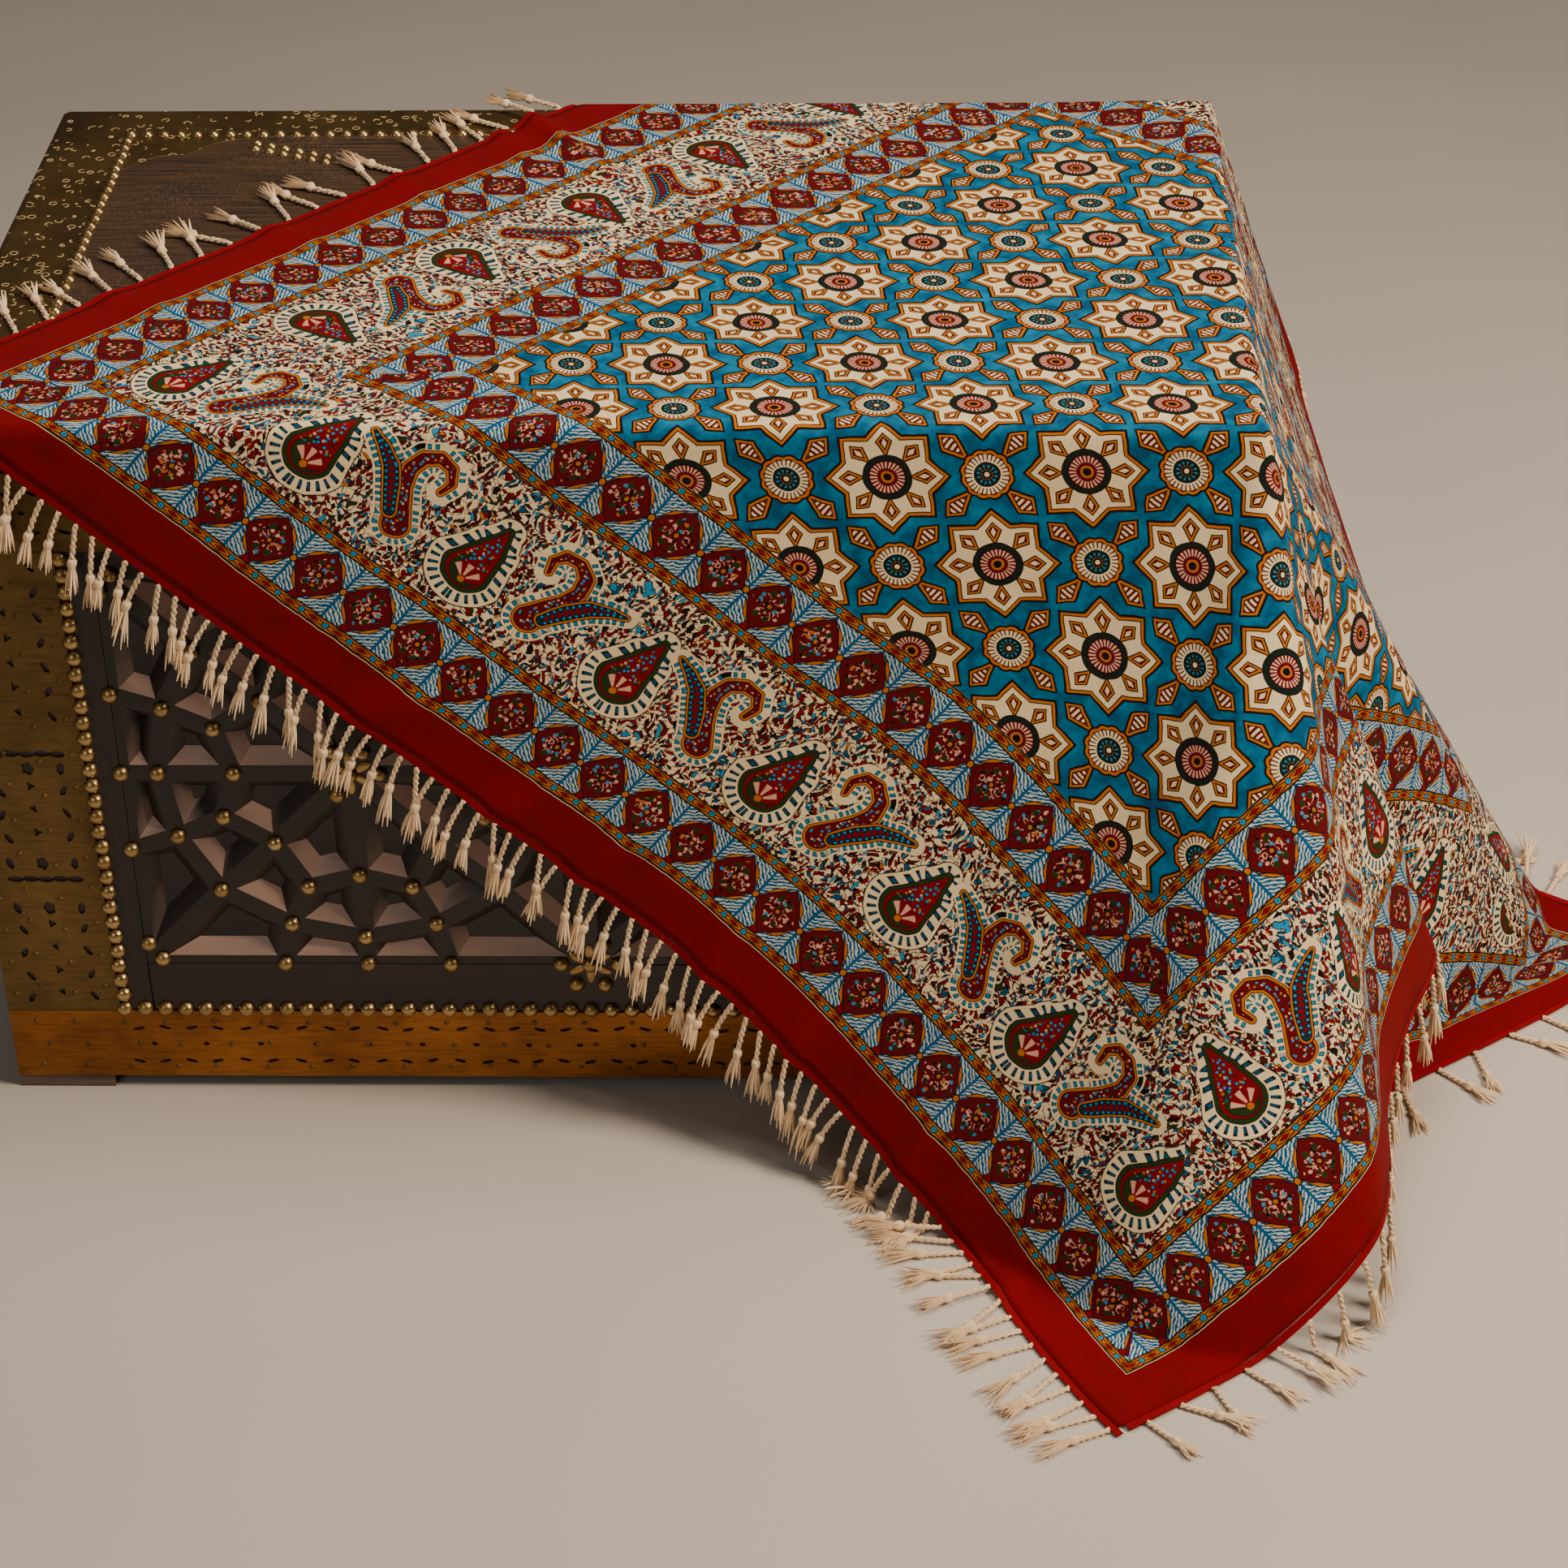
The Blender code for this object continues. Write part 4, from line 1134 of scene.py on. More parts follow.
# %% [markdown]
# ### Putting the blocks together
# The border's blocks follow the nearest side of the field and meet in mitres at its corners. The
# place is shaken a little by noise, because blocks are set down by hand and the ink creeps, and
# the dyes are mottled, because cotton drinks them unevenly.

# %% Printed cotton
Band = namedtuple("Band", "start end")
LINE_STARTS = (0.0, 0.0575, 0.1825, 0.240)
PAISLEY_BAND = Band(0.0665, 0.1825)
INNER_ROW = Band(0.009, 0.0575)
OUTER_ROW = Band(0.1915, 0.240)
HEM_START = 0.249
Phase = namedtuple("Phase", "side paisley row")
PHASE_FRONT = Phase("front", 0.122, 0.0360)
PHASE_RIGHT = Phase("right", -0.041, 0.0015)
PHASE_BACK = Phase("back", -0.060, 0.0100)
PHASE_LEFT = Phase("left", -0.1129, 0.0015)
PAISLEY_MIDDLE = (PAISLEY_BAND.start + PAISLEY_BAND.end) / 2
PAISLEY_HALF = (PAISLEY_BAND.end - PAISLEY_BAND.start) / 2
CORNER_SHIFT = 0.048
CUT_OFF = 0.045
SHAKE = 0.0016
DRIFT = 0.0050
WEAVE_PITCH = 0.0009


def printed_cotton():
    finish, desk, shader = open_finish("printed cotton", 0.82)
    source = desk.node("ShaderNodeUVMap", uv_map="print")
    steady = Wire(desk, source.outputs[0])
    shake = desk.noise(steady, 70.0, 1.0, output="Color", flat=True)
    drift = desk.noise(steady, 7.0, 0.0, output="Color", flat=True)
    place = desk.arrow("MULTIPLY_ADD", shake, (SHAKE, SHAKE, 0.0), steady)
    place = desk.arrow("MULTIPLY_ADD", drift, (DRIFT, DRIFT, 0.0), place)
    place = desk.arrow("SUBTRACT", place, ((SHAKE + DRIFT) / 2, (SHAKE + DRIFT) / 2, 0.0))
    a, b, _ = desk.split(place)
    colour = desk.group(star_block(), a, b)[0]

    over_a = desk.most(a * -1.0, a - FIELD_A)
    over_b = desk.most(b * -1.0, b - FIELD_B)
    out = desk.most(over_a, over_b)
    is_front = desk.maths("LESS_THAN", b, FIELD_B / 2)
    in_paisleys = desk.inside(abs(out - PAISLEY_MIDDLE) - PAISLEY_HALF, LINE_SOFT)
    mitre_shift = desk.both(desk.both(in_paisleys, is_front), CORNER_SHIFT)
    front_or_back = desk.maths("GREATER_THAN", over_b + mitre_shift, over_a)
    is_right = desk.maths("GREATER_THAN", a, FIELD_A / 2)
    along_ab = desk.maths("MULTIPLY_ADD", is_front, (a - PHASE_FRONT.paisley) + (a + PHASE_BACK.paisley),
                          (a + PHASE_BACK.paisley) * -1.0)
    along_lr = desk.maths("MULTIPLY_ADD", is_right, (b - PHASE_RIGHT.paisley) + (b + PHASE_LEFT.paisley),
                          (b + PHASE_LEFT.paisley) * -1.0)
    along = desk.maths("MULTIPLY_ADD", front_or_back, along_ab - along_lr, along_lr)

    def lay(above, mask):
        nonlocal colour
        colour = desk.paint(colour, above, mask)

    lay(CREAM, desk.inside(out * -1.0, LINE_SOFT))
    side_out = desk.maths("MULTIPLY_ADD", front_or_back, over_b - over_a, over_a)
    past_side = desk.maths("GREATER_THAN", over_b, CUT_OFF)
    cut_off = desk.both(past_side, 1.0 - front_or_back)
    paisleys = desk.group(paisley_block(), along, side_out - PAISLEY_BAND.start, cut_off)[0]
    lay(paisleys, desk.maths("GREATER_THAN", out, PAISLEY_BAND.start))
    inner_middle = (INNER_ROW.start + INNER_ROW.end) / 2
    outer_middle = (OUTER_ROW.start + OUTER_ROW.end) / 2
    is_outer = desk.maths("GREATER_THAN", out, (inner_middle + outer_middle) / 2)
    across = out - desk.maths("MULTIPLY_ADD", is_outer, outer_middle - inner_middle, inner_middle)
    rows = desk.group(diamond_row(), along + PHASE_FRONT.row, across)[0]
    on_field_side = desk.both(desk.maths("GREATER_THAN", out, 0.0),
                              desk.maths("LESS_THAN", abs(across), ROW_HEIGHT / 2 + 0.002))
    lay(rows, on_field_side)
    from_line = abs(out - (LINE_STARTS[0] + LINE_WIDTH / 2))
    for start in LINE_STARTS[1:]:
        from_line = desk.least(from_line, abs(out - (start + LINE_WIDTH / 2)))
    lines = desk.group(ochre_line(), along, from_line)[0]
    lay(lines, desk.inside(from_line - LINE_WIDTH / 2, LINE_SOFT))
    lay(BLACK, desk.inside((HEM_START - 0.0004) - out, LINE_SOFT))
    stain = desk.noise(steady, 24.0, 3.0, 0.65, flat=True)
    hem = desk.paint(HEM_DARK, HEM_BRIGHT, stain)
    lay(CREAM, desk.inside((HEM_START + 0.0004) - out, LINE_SOFT))
    lay(hem, desk.inside((HEM_START + 0.0009) - out, LINE_SOFT))

    # Thread by thread the ink is uneven, and the whole print is darker here and there.
    worn = desk.levels(desk.noise(steady, 9.0, 2.0, 0.6, flat=True), 0.5, -0.12)
    colour = desk.paint(colour, BROWN, worn * 0.35)
    grain = desk.noise(steady, 900.0, 1.0, 0.5, flat=True)
    colour = desk.paint(colour, BLACK, desk.levels(grain, 0.9, -0.33) * 0.4)
    desk.feed(shader.inputs["Base Color"], colour)
    desk.feed(shader.inputs["Roughness"], desk.maths("MULTIPLY_ADD", stain, 0.12, 0.80))
    shader.inputs["Specular IOR Level"].default_value = 0.14
    thread_a, thread_b, _ = desk.split(steady)
    weave_a = desk.maths("SINE", thread_a * (2 * math.pi / WEAVE_PITCH))
    weave_b = desk.maths("SINE", thread_b * (2 * math.pi / WEAVE_PITCH))
    soft_folds = desk.noise(steady, 26.0, 2.0, 0.5, flat=True)
    height = desk.maths("MULTIPLY_ADD", soft_folds, 14.0, weave_a * weave_b)
    height = desk.maths("MULTIPLY_ADD", grain, 1.2, height)
    bump(desk, shader, height, 0.00018, 0.8)
    return finish


cotton = printed_cotton()
finished(cloth, cotton, ["cloth"])
only(cloth)
bpy.ops.object.shade_smooth()


# %% [markdown]
# ## The fringe
# Bundles of warp threads are left long at the edge. Each is twisted into a two-ply cord, knotted,
# and let go into a loose tassel. The cords stand where the solids have them: close together on
# the front side and wider apart on the others. Each stretch of edge is one piece, as in the
# solids, with its narrow strip of hem.

# %% Where the strands stand
Split = namedtuple("Split", "side at")
SPLITS = [
    Split("front", 0.42), Split("front", 0.70),
    Split("right", 0.02), Split("right", 0.266), Split("right", 0.452),
    Split("back", 0.62),
]
TURN_GAPS = {"front": SEAT_GAP, "right": 0.006, "back": 0.006, "left": 0.006}
BARE_ENDS = {"fringe_back_2": (0.016, 0.036)}
SPACINGS = {"front": 0.0138, "right": 0.0275, "back": 0.0275, "left": 0.0275}


def hem_point(side, at, inset):
    """The print place on one side's hem, so far in from its edge."""
    if side == "front":
        return at, B_LOW + inset
    if side == "right":
        return A_HIGH - inset, at
    if side == "back":
        return at, B_HIGH - inset
    return A_LOW + inset, at


def side_ends(side):
    return (A_LOW, A_HIGH) if side in ("front", "back") else (B_LOW, B_HIGH)


def crossings(side, inset):
    """Where one side of the cloth crosses the lid's edges."""
    low, high = side_ends(side)
    start, end = (print_to_flat(*hem_point(side, at, inset)) for at in (low, high))
    found = []
    for axis, level, other_low, other_high in (
        (0, FLAT_LEFT, 0.0, FLAT_BACK),
        (1, 0.0, FLAT_LEFT, 0.0),
        (1, FLAT_BACK, FLAT_LEFT, math.inf),
        (0, 0.0, FLAT_BACK, math.inf),
    ):
        share = (level - start[axis]) / (end[axis] - start[axis])
        if 0 < share < 1:
            met = start + share * (end - start)
            if other_low <= met[1 - axis] <= other_high:
                found.append(low + share * (high - low))
    return sorted(found)


Stretch = namedtuple("Stretch", "name side start end")
stretches = []
for side in ("front", "right", "back", "left"):
    low, high = side_ends(side)
    if side in ("right", "left"):
        low, high = low + STRIP_WIDTH + SEAT_GAP, high - STRIP_WIDTH - SEAT_GAP
    cuts = sorted(crossings(side, STRIP_WIDTH / 2) + [row.at for row in SPLITS if row.side == side])
    ends = [low, *cuts, high]
    for k in range(len(ends) - 1):
        name = f"fringe_{side}_{k + 1}"
        gap_start, gap_end = BARE_ENDS.get(name, (TURN_GAPS[side], TURN_GAPS[side]))
        stretches.append(Stretch(name, side, ends[k] + gap_start, ends[k + 1] - gap_end))
print("fringe stretches", len(stretches))


# %% [markdown]
# ### One strand
# A strand's middle line starts at the hem, leaves it the way the hem points, and bends down until
# it hangs or lies. The twist is two thin tubes wound round that line. The knot is a short fat
# roll of yarn, and the tassel is a bundle of thin tapering yarns that spread as they go.

# %% Shapes of a strand
PLY_HALF = 0.00135
PLY_OFFSET = 0.00115
TWIST_PITCH = 0.0100
PLY_RINGS = 11
PLY_SIDES = 4
CORD_LENGTH = 0.029
KNOT_LENGTH = 0.0072
KNOT_HALF = 0.0038
TASSEL_LENGTH = 0.025
YARNS = 12
YARN_HALF = 0.00085
LEAST_CLEAR = 0.0005


def wobble(number, seed):
    """An uneven but repeatable value from -1 to 1."""
    value = math.sin(number * 12.9898 + seed * 78.233) * 43758.5453
    return 2 * (value - math.floor(value)) - 1


def rest_level(x, y, half):
    """The lowest height for the middle of something this thick at this place."""
    on_lid = -CHEST_WIDTH <= x <= 0 and 0 <= y <= CHEST_DEPTH
    return (CHEST_HEIGHT if on_lid else 0.0) + half + LEAST_CLEAR


def settle(point, half):
    return np.array([point[0], point[1], max(point[2], rest_level(point[0], point[1], half))])


class Shell:
    """Points and faces of a piece that is built tube by tube."""

    def __init__(self):
        self.points = []
        self.faces = []

    def tube(self, line, halves, sides, flat=1.0):
        """A closed tube along a line, with a half-width at each point."""
        line = np.asarray(line, float)
        ways = unit(np.gradient(line, axis=0))
        up = np.array([0.0, 0.0, 1.0]) if abs(ways[0][2]) < 0.9 else np.array([1.0, 0.0, 0.0])
        rings = []
        for point, way, half in zip(line, ways, halves):
            side = unit(np.cross(way, up))
            up = np.cross(side, way)
            first = len(self.points)
            for k in range(sides):
                turn = 2 * math.pi * k / sides
                self.points.append(point + half * (side * math.cos(turn) + up * flat * math.sin(turn)))
            rings.append(first)
        for near, far in zip(rings, rings[1:]):
            for k in range(sides):
                after = (k + 1) % sides
                self.faces.append((near + k, near + after, far + after, far + k))
        self.faces.append(tuple(rings[0] + k for k in reversed(range(sides))))
        self.faces.append(tuple(rings[-1] + k for k in range(sides)))

    def piece(self, name):
        mesh = bpy.data.meshes.new(name)
        mesh.from_pydata([tuple(map(float, point)) for point in self.points], [], self.faces)
        made = bpy.data.objects.new(name, mesh)
        bpy.context.scene.collection.objects.link(made)
        shell = bmesh.new()
        shell.from_mesh(mesh)
        bmesh.ops.recalc_face_normals(shell, faces=shell.faces)
        shell.to_mesh(mesh)
        shell.free()
        return made


def bend_path(start, way, pull, length, steps, half):
    """A line that sets out one way and is pulled down, and lies on whatever is under it."""
    line = [np.array(start)]
    heading = unit(way)
    for _ in range(steps):
        heading = unit(heading + np.array([0.0, 0.0, -pull]))
        step = line[-1] + heading * length / steps
        placed = settle(step, half)
        if placed[2] > step[2] + 1e-6:
            level = heading * np.array([1.0, 1.0, 0.0])
            heading = unit(level) if np.linalg.norm(level) > 0.05 else heading
            step = line[-1] + heading * length / steps
            placed = settle(step, half)
        line.append(placed)
    return np.array(line)


def add_strand(shell, root, out, tangent, lying, number, seed):
    """One twisted cord with its knot and tassel."""
    lean = out + tangent * (0.50 * wobble(number, seed) + 0.10)
    stiff = 1.35 + 0.55 * wobble(number + 3, seed)
    if lying:
        way = unit(lean * np.array([1, 1, 0]))
        pull = 0.0
    else:
        way = unit(lean * stiff + np.array([0, 0, -0.75]))
        pull = 0.045
    reach = CORD_LENGTH * (1 + 0.14 * wobble(number + 5, seed))
    cord_half = PLY_HALF + PLY_OFFSET
    line = bend_path(root, way, pull, reach, PLY_RINGS - 1, cord_half)
    ways = unit(np.gradient(line, axis=0))
    up = np.array([0.0, 0.0, 1.0]) if abs(ways[0][2]) < 0.9 else np.array([0.0, 1.0, 0.0])
    travel = np.linspace(0, reach, PLY_RINGS)
    for ply in range(2):
        wound = []
        for point, heading, run in zip(line, ways, travel):
            side = unit(np.cross(heading, up))
            over = np.cross(side, heading)
            turn = 2 * math.pi * run / TWIST_PITCH + math.pi * ply + number
            ring = side * math.cos(turn) + over * math.sin(turn)
            wound.append(point + ring * PLY_OFFSET)
        shell.tube(wound, [PLY_HALF] * len(wound), PLY_SIDES)
    heading = ways[-1]
    knot_start = line[-1] - heading * KNOT_LENGTH * 0.25
    knot_end = settle(line[-1] + heading * KNOT_LENGTH * 0.75, KNOT_HALF)
    knot = [settle(knot_start + (knot_end - knot_start) * share, KNOT_HALF * 0.9)
            for share in (0.0, 0.2, 0.5, 0.8, 1.0)]
    shell.tube(knot, [KNOT_HALF * share for share in (0.55, 0.95, 1.0, 0.85, 0.6)], 6)
    length = TASSEL_LENGTH * (1 + 0.22 * wobble(number + 9, seed))
    side = unit(np.cross(heading, np.array([0.0, 0.0, 1.0])) + 1e-6)
    over = np.cross(side, heading)
    for yarn in range(YARNS):
        turn = 2.4 * yarn + number
        spread = 0.06 + 0.30 * math.sqrt((yarn + 0.5) / YARNS)
        fan = side * math.cos(turn) * spread + over * math.sin(turn) * spread * (0.35 if lying else 0.8)
        base = knot_end + (side * math.cos(turn) + over * math.sin(turn)) * KNOT_HALF * 0.45
        own = length * (0.82 + 0.2 * wobble(yarn + number, seed + 1))
        drawn = 0.0 if lying else 0.22 + 0.08 * wobble(yarn + number, seed + 2)
        strand = bend_path(settle(base, YARN_HALF), heading + fan, drawn, own, 3, YARN_HALF)
        shell.tube(strand, [YARN_HALF, YARN_HALF * 1.25, YARN_HALF, YARN_HALF * 0.35], 3)


# %% Fringe finish
def fringe_yarn():
    """Undyed cotton yarn: warm cream, with painted shade in fine specks for its hollows, and fine fibres."""
    finish, desk, shader = open_finish("fringe yarn", 0.85)
    place = object_place(desk)
    fibres = desk.noise(place, 1500.0, 2.0, 0.6)
    tone = desk.noise(place, 40.0, 3.0, 0.6)
    colour = desk.paint(ink(232, 196, 150), ink(250, 226, 188), tone)
    # Painted shade: fine specks of darker cream stand for the shade in the yarn's hollows.
    colour = desk.paint(colour, ink(190, 146, 100), desk.levels(fibres, 1.6, -0.62))
    desk.feed(shader.inputs["Base Color"], colour)
    shader.inputs["Sheen Weight"].default_value = 0.2
    bump(desk, shader, fibres, 0.0004, 0.6)
    return finish


yarn_finish = fringe_yarn()


def hem_strip_finish():
    finish, desk, shader = open_finish("crimson hem", 0.82)
    place = object_place(desk)
    stain = desk.noise(place, 24.0, 5.0, 0.65)
    desk.feed(shader.inputs["Base Color"], desk.paint(HEM_DARK, HEM_BRIGHT, stain))
    shader.inputs["Specular IOR Level"].default_value = 0.14
    bump(desk, shader, desk.noise(place, 900.0, 2.0), 0.0003, 0.6)
    return finish


hem_finish = hem_strip_finish()


# %% Make the fringe
STRIP_STEP = 0.006
STRIP_HALF_THICK = 0.0005


def add_strip(shell, row):
    """The narrow strip of hem that the strands are rooted in."""
    count = max(round((row.end - row.start) / STRIP_STEP), 2)
    at = np.linspace(row.start, row.end, count + 1)
    rim = cloth_surface(*np.broadcast_arrays(*hem_point(row.side, at, 0.0005)))
    root = cloth_surface(*np.broadcast_arrays(*hem_point(row.side, at, STRIP_WIDTH)))
    way = unit(np.gradient(rim, axis=0))
    normal = unit(np.cross(way, unit(rim - root)))
    half = normal * STRIP_HALF_THICK
    first = len(shell.points)
    for k in range(len(at)):
        shell.points += [root[k] + half[k], rim[k] + half[k], rim[k] - half[k], root[k] - half[k]]
    for k in range(len(at) - 1):
        here, there = first + 4 * k, first + 4 * k + 4
        for j in range(4):
            after = (j + 1) % 4
            shell.faces.append((here + j, here + after, there + after, there + j))
    last = first + 4 * (len(at) - 1)
    shell.faces.append((first + 3, first + 2, first + 1, first))
    shell.faces.append((last, last + 1, last + 2, last + 3))


strand_count = 0
for row in stretches:
    shell = Shell()
    add_strip(shell, row)
    strip_faces = len(shell.faces)
    spacing = SPACINGS[row.side]
    count = max(int((row.end - row.start) / spacing), 1)
    at = row.start + (np.arange(count) + 0.5) * (row.end - row.start) / count
    rim = cloth_surface(*np.broadcast_arrays(*hem_point(row.side, at, 0.0002)))
    beside = cloth_surface(*np.broadcast_arrays(*hem_point(row.side, at + 0.002, 0.0002)))
    within = cloth_surface(*np.broadcast_arrays(*hem_point(row.side, at, 0.004)))
    for k in range(count):
        tangent = unit(beside[k] - rim[k])
        out = unit(rim[k] - within[k])
        lying = rim[k][2] > CHEST_HEIGHT or rim[k][2] < 0.012
        add_strand(shell, rim[k], out, tangent, lying, k + 1, len(row.name) + count)
    strand_count += count
    piece = shell.piece(row.name + "_yarn")
    finished(piece, yarn_finish, [row.name])
    piece.data.materials.append(hem_finish)
    for face in piece.data.polygons[:strip_faces]:
        face.material_index = 1
    only(piece)
    bpy.ops.object.shade_smooth_by_angle(angle=math.radians(50))
print("strands", strand_count)


# %% [markdown]
# ## The chest's front
# The front is a frame of flat boards round a carved panel. The carver sinks the ground and leaves
# straps standing, flush with the frame: they cross in a star lattice, with a domed nail on every
# crossing. It is made as the carver does it: the lattice is drawn as a net of faces, each face is
# inset by half a strap, and the inner faces are pushed back with sloping sides.

# %% Net of the lattice
CELL_HALF_WIDTH = 0.1667
CELL_HALF_HEIGHT = 0.170
CELL_MIDDLE_Z = 0.288
CELL_CENTRES_X = (-0.640, -0.640 + 2 * CELL_HALF_WIDTH)
STRAP_HALF = 0.0068
SLOPE_WIDTH = 0.0105
SUNK = 0.0105
PANEL_BACK = 0.0205

Joint = namedtuple("Joint", "side down nail")
JOINTS = {
    "middle": Joint(0.0, 0.0, False),
    "far": Joint(CELL_HALF_WIDTH, 0.0, True),
    "arm outer": Joint(0.140, 0.0, True),
    "arm inner": Joint(0.0846, 0.0, True),
    "shoulder": Joint(0.0957, 0.038, True),
    "elbow": Joint(0.131, 0.055, True),
    "rim": Joint(CELL_HALF_WIDTH, 0.067, True),
    "ray": Joint(0.060, 0.061, True),
    "cross": Joint(0.104, 0.103, True),
    "leg side": Joint(0.0387, 0.100, True),
    "leg": Joint(0.0, 0.0895, True),
    "knee side": Joint(0.054, 0.1335, True),
    "knee": Joint(0.0, 0.1455, True),
    "foot side": Joint(0.0625, CELL_HALF_HEIGHT, True),
    "foot": Joint(0.0, CELL_HALF_HEIGHT, True),
    "corner": Joint(CELL_HALF_WIDTH, CELL_HALF_HEIGHT, False),
}
POCKETS = [
    ("middle", "arm inner", "shoulder", "ray"),
    ("arm inner", "arm outer", "elbow", "shoulder"),
    ("arm outer", "far", "rim", "elbow"),
    ("shoulder", "elbow", "cross", "ray"),
    ("middle", "ray", "leg side", "leg"),
    ("ray", "cross", "knee side", "leg side"),
    ("leg side", "knee side", "knee", "leg"),
    ("elbow", "rim", "corner", "cross"),
    ("cross", "corner", "foot side", "knee side"),
    ("knee side", "foot side", "foot", "knee"),
]


def lattice_places(joint):
    """The places of a joint in both cells and all four quarters."""
    return {(round(x + sx * joint.side, 5), round(CELL_MIDDLE_Z + sz * joint.down, 5))
            for x in CELL_CENTRES_X for sx in (-1, 1) for sz in (-1, 1)}


net = bmesh.new()
for x in CELL_CENTRES_X:
    for sx in (-1, 1):
        for sz in (-1, 1):
            for pocket in POCKETS:
                ring = [JOINTS[name] for name in pocket]
                points = [Vector((x + sx * j.side, 0.0, CELL_MIDDLE_Z + sz * j.down)) for j in ring]
                net.faces.new([net.verts.new(point) for point in points])
bmesh.ops.remove_doubles(net, verts=net.verts, dist=0.0002)
for face in net.faces:
    face.normal_update()
    if face.normal.y > 0:
        face.normal_flip()
lattice_mesh = bpy.data.meshes.new("carved_panel")
net.to_mesh(lattice_mesh)
net.free()
carved = bpy.data.objects.new("carved_panel", lattice_mesh)
bpy.context.scene.collection.objects.link(carved)
print("lattice", len(lattice_mesh.polygons), "pockets")


# %% Sink the pockets and close the panel
only(carved)
bpy.ops.object.mode_set(mode="EDIT")
bpy.ops.mesh.select_mode(type="FACE")
bpy.ops.mesh.select_all(action="SELECT")
bpy.ops.mesh.inset(thickness=STRAP_HALF, depth=0.0, use_individual=True)
bpy.ops.mesh.inset(thickness=SLOPE_WIDTH, depth=-SUNK, use_individual=True)
bpy.ops.object.mode_set(mode="OBJECT")
eased = carved.modifiers.new("eased straps", "BEVEL")
eased.width = 0.0011
eased.segments = 2
eased.limit_method = "ANGLE"
eased.angle_limit = math.radians(35)
apply_all(carved)
bpy.ops.object.mode_set(mode="EDIT")
bpy.ops.mesh.select_mode(type="EDGE")
bpy.ops.mesh.select_all(action="DESELECT")
bpy.ops.mesh.select_non_manifold(extend=False, use_wire=False, use_boundary=True,
                                 use_multi_face=False, use_non_contiguous=False, use_verts=False)
bpy.ops.mesh.extrude_region_move(TRANSFORM_OT_translate={"value": (0.0, PANEL_BACK, 0.0)})
bpy.ops.mesh.edge_face_add()
bpy.ops.mesh.select_all(action="SELECT")
bpy.ops.mesh.normals_make_consistent(inside=False)
bpy.ops.object.mode_set(mode="OBJECT")
carved.location.y = 0.0002
panel_left = CELL_CENTRES_X[0] - CELL_HALF_WIDTH
panel_right = CELL_CENTRES_X[1] + CELL_HALF_WIDTH
panel_low = CELL_MIDDLE_Z - CELL_HALF_HEIGHT
panel_high = CELL_MIDDLE_Z + CELL_HALF_HEIGHT
finished(carved, carved_wood, ["chest_front"], smooth_deg=32)


# %% Frame of the front
front_low, front_high = solid_box("chest_front")
FIT = 0.0003
BOARD_EASE = 0.0009
stiles = [
    board("stile", (front_low.x, 0.0, front_low.z),
          (panel_left - FIT, front_high.y, front_high.z), BOARD_EASE),
    board("stile", (panel_right + FIT, 0.0, front_low.z),
          (front_high.x, front_high.y, front_high.z), BOARD_EASE),
]
rails = [
    board("rail", (panel_left, 0.0, front_low.z),
          (panel_right, front_high.y, panel_low - FIT), BOARD_EASE),
    board("rail", (panel_left, 0.0, panel_high + FIT),
          (panel_right, front_high.y, front_high.z), BOARD_EASE),
]
finished(joined(stiles, "front_stiles"), oiled_upright, ["chest_front"])
finished(joined(rails, "front_rails"), oiled_across, ["chest_front"])


# %% [markdown]
# ## Brass bands
# Sheet brass is pinned round the front. It is pierced with leaves, triangles and drops, and the
# dark wood shows through. The plates are boxes of the solids' size, and the holes are cut through
# them by small prisms that a hand punch could make.

# %% Punches
Hole = namedtuple("Hole", "x z long wide turn_deg sides")


def punched_plate(node, holes):
    """A band with its holes cut through."""
    low, high = solid_box(node)
    plate = board(node + "_plate", low, high, 0.0004)
    cutters = []
    for hole in holes:
        bpy.ops.object.select_all(action="DESELECT")
        bpy.ops.mesh.primitive_cylinder_add(
            vertices=hole.sides, radius=0.5, depth=0.01,
            location=(hole.x, low.y, hole.z), rotation=(math.pi / 2, 0, 0))
        punch = bpy.context.object
        punch.data.transform(Matrix.Rotation(math.radians(90), 4, "Z") if hole.sides == 6 else Matrix())
        punch.scale = (hole.long, hole.wide, 1.0)
        punch.rotation_euler = (math.pi / 2, math.radians(hole.turn_deg), 0)
        cutters.append(punch)
    punches = joined(cutters, "punches")
    freeze(punches)
    cut = plate.modifiers.new("punched", "BOOLEAN")
    cut.operation = "DIFFERENCE"
    cut.solver = "EXACT"
    cut.use_self = True
    cut.object = punches
    apply_all(plate)
    bpy.data.objects.remove(punches, do_unlink=True)
    return plate


# %% Left and right bands
stile_low, stile_high = solid_box("band_left")
band_bottom_low, band_bottom_high = solid_box("band_bottom")
LEAF_STEP = 0.0225
COLUMNS = (0.020, 0.044, 0.068)
SLOT_LEVELS = (0.195, 0.305)
BARE_BY_SLOT = 0.012
DROPS_BY_SLOT = 0.030


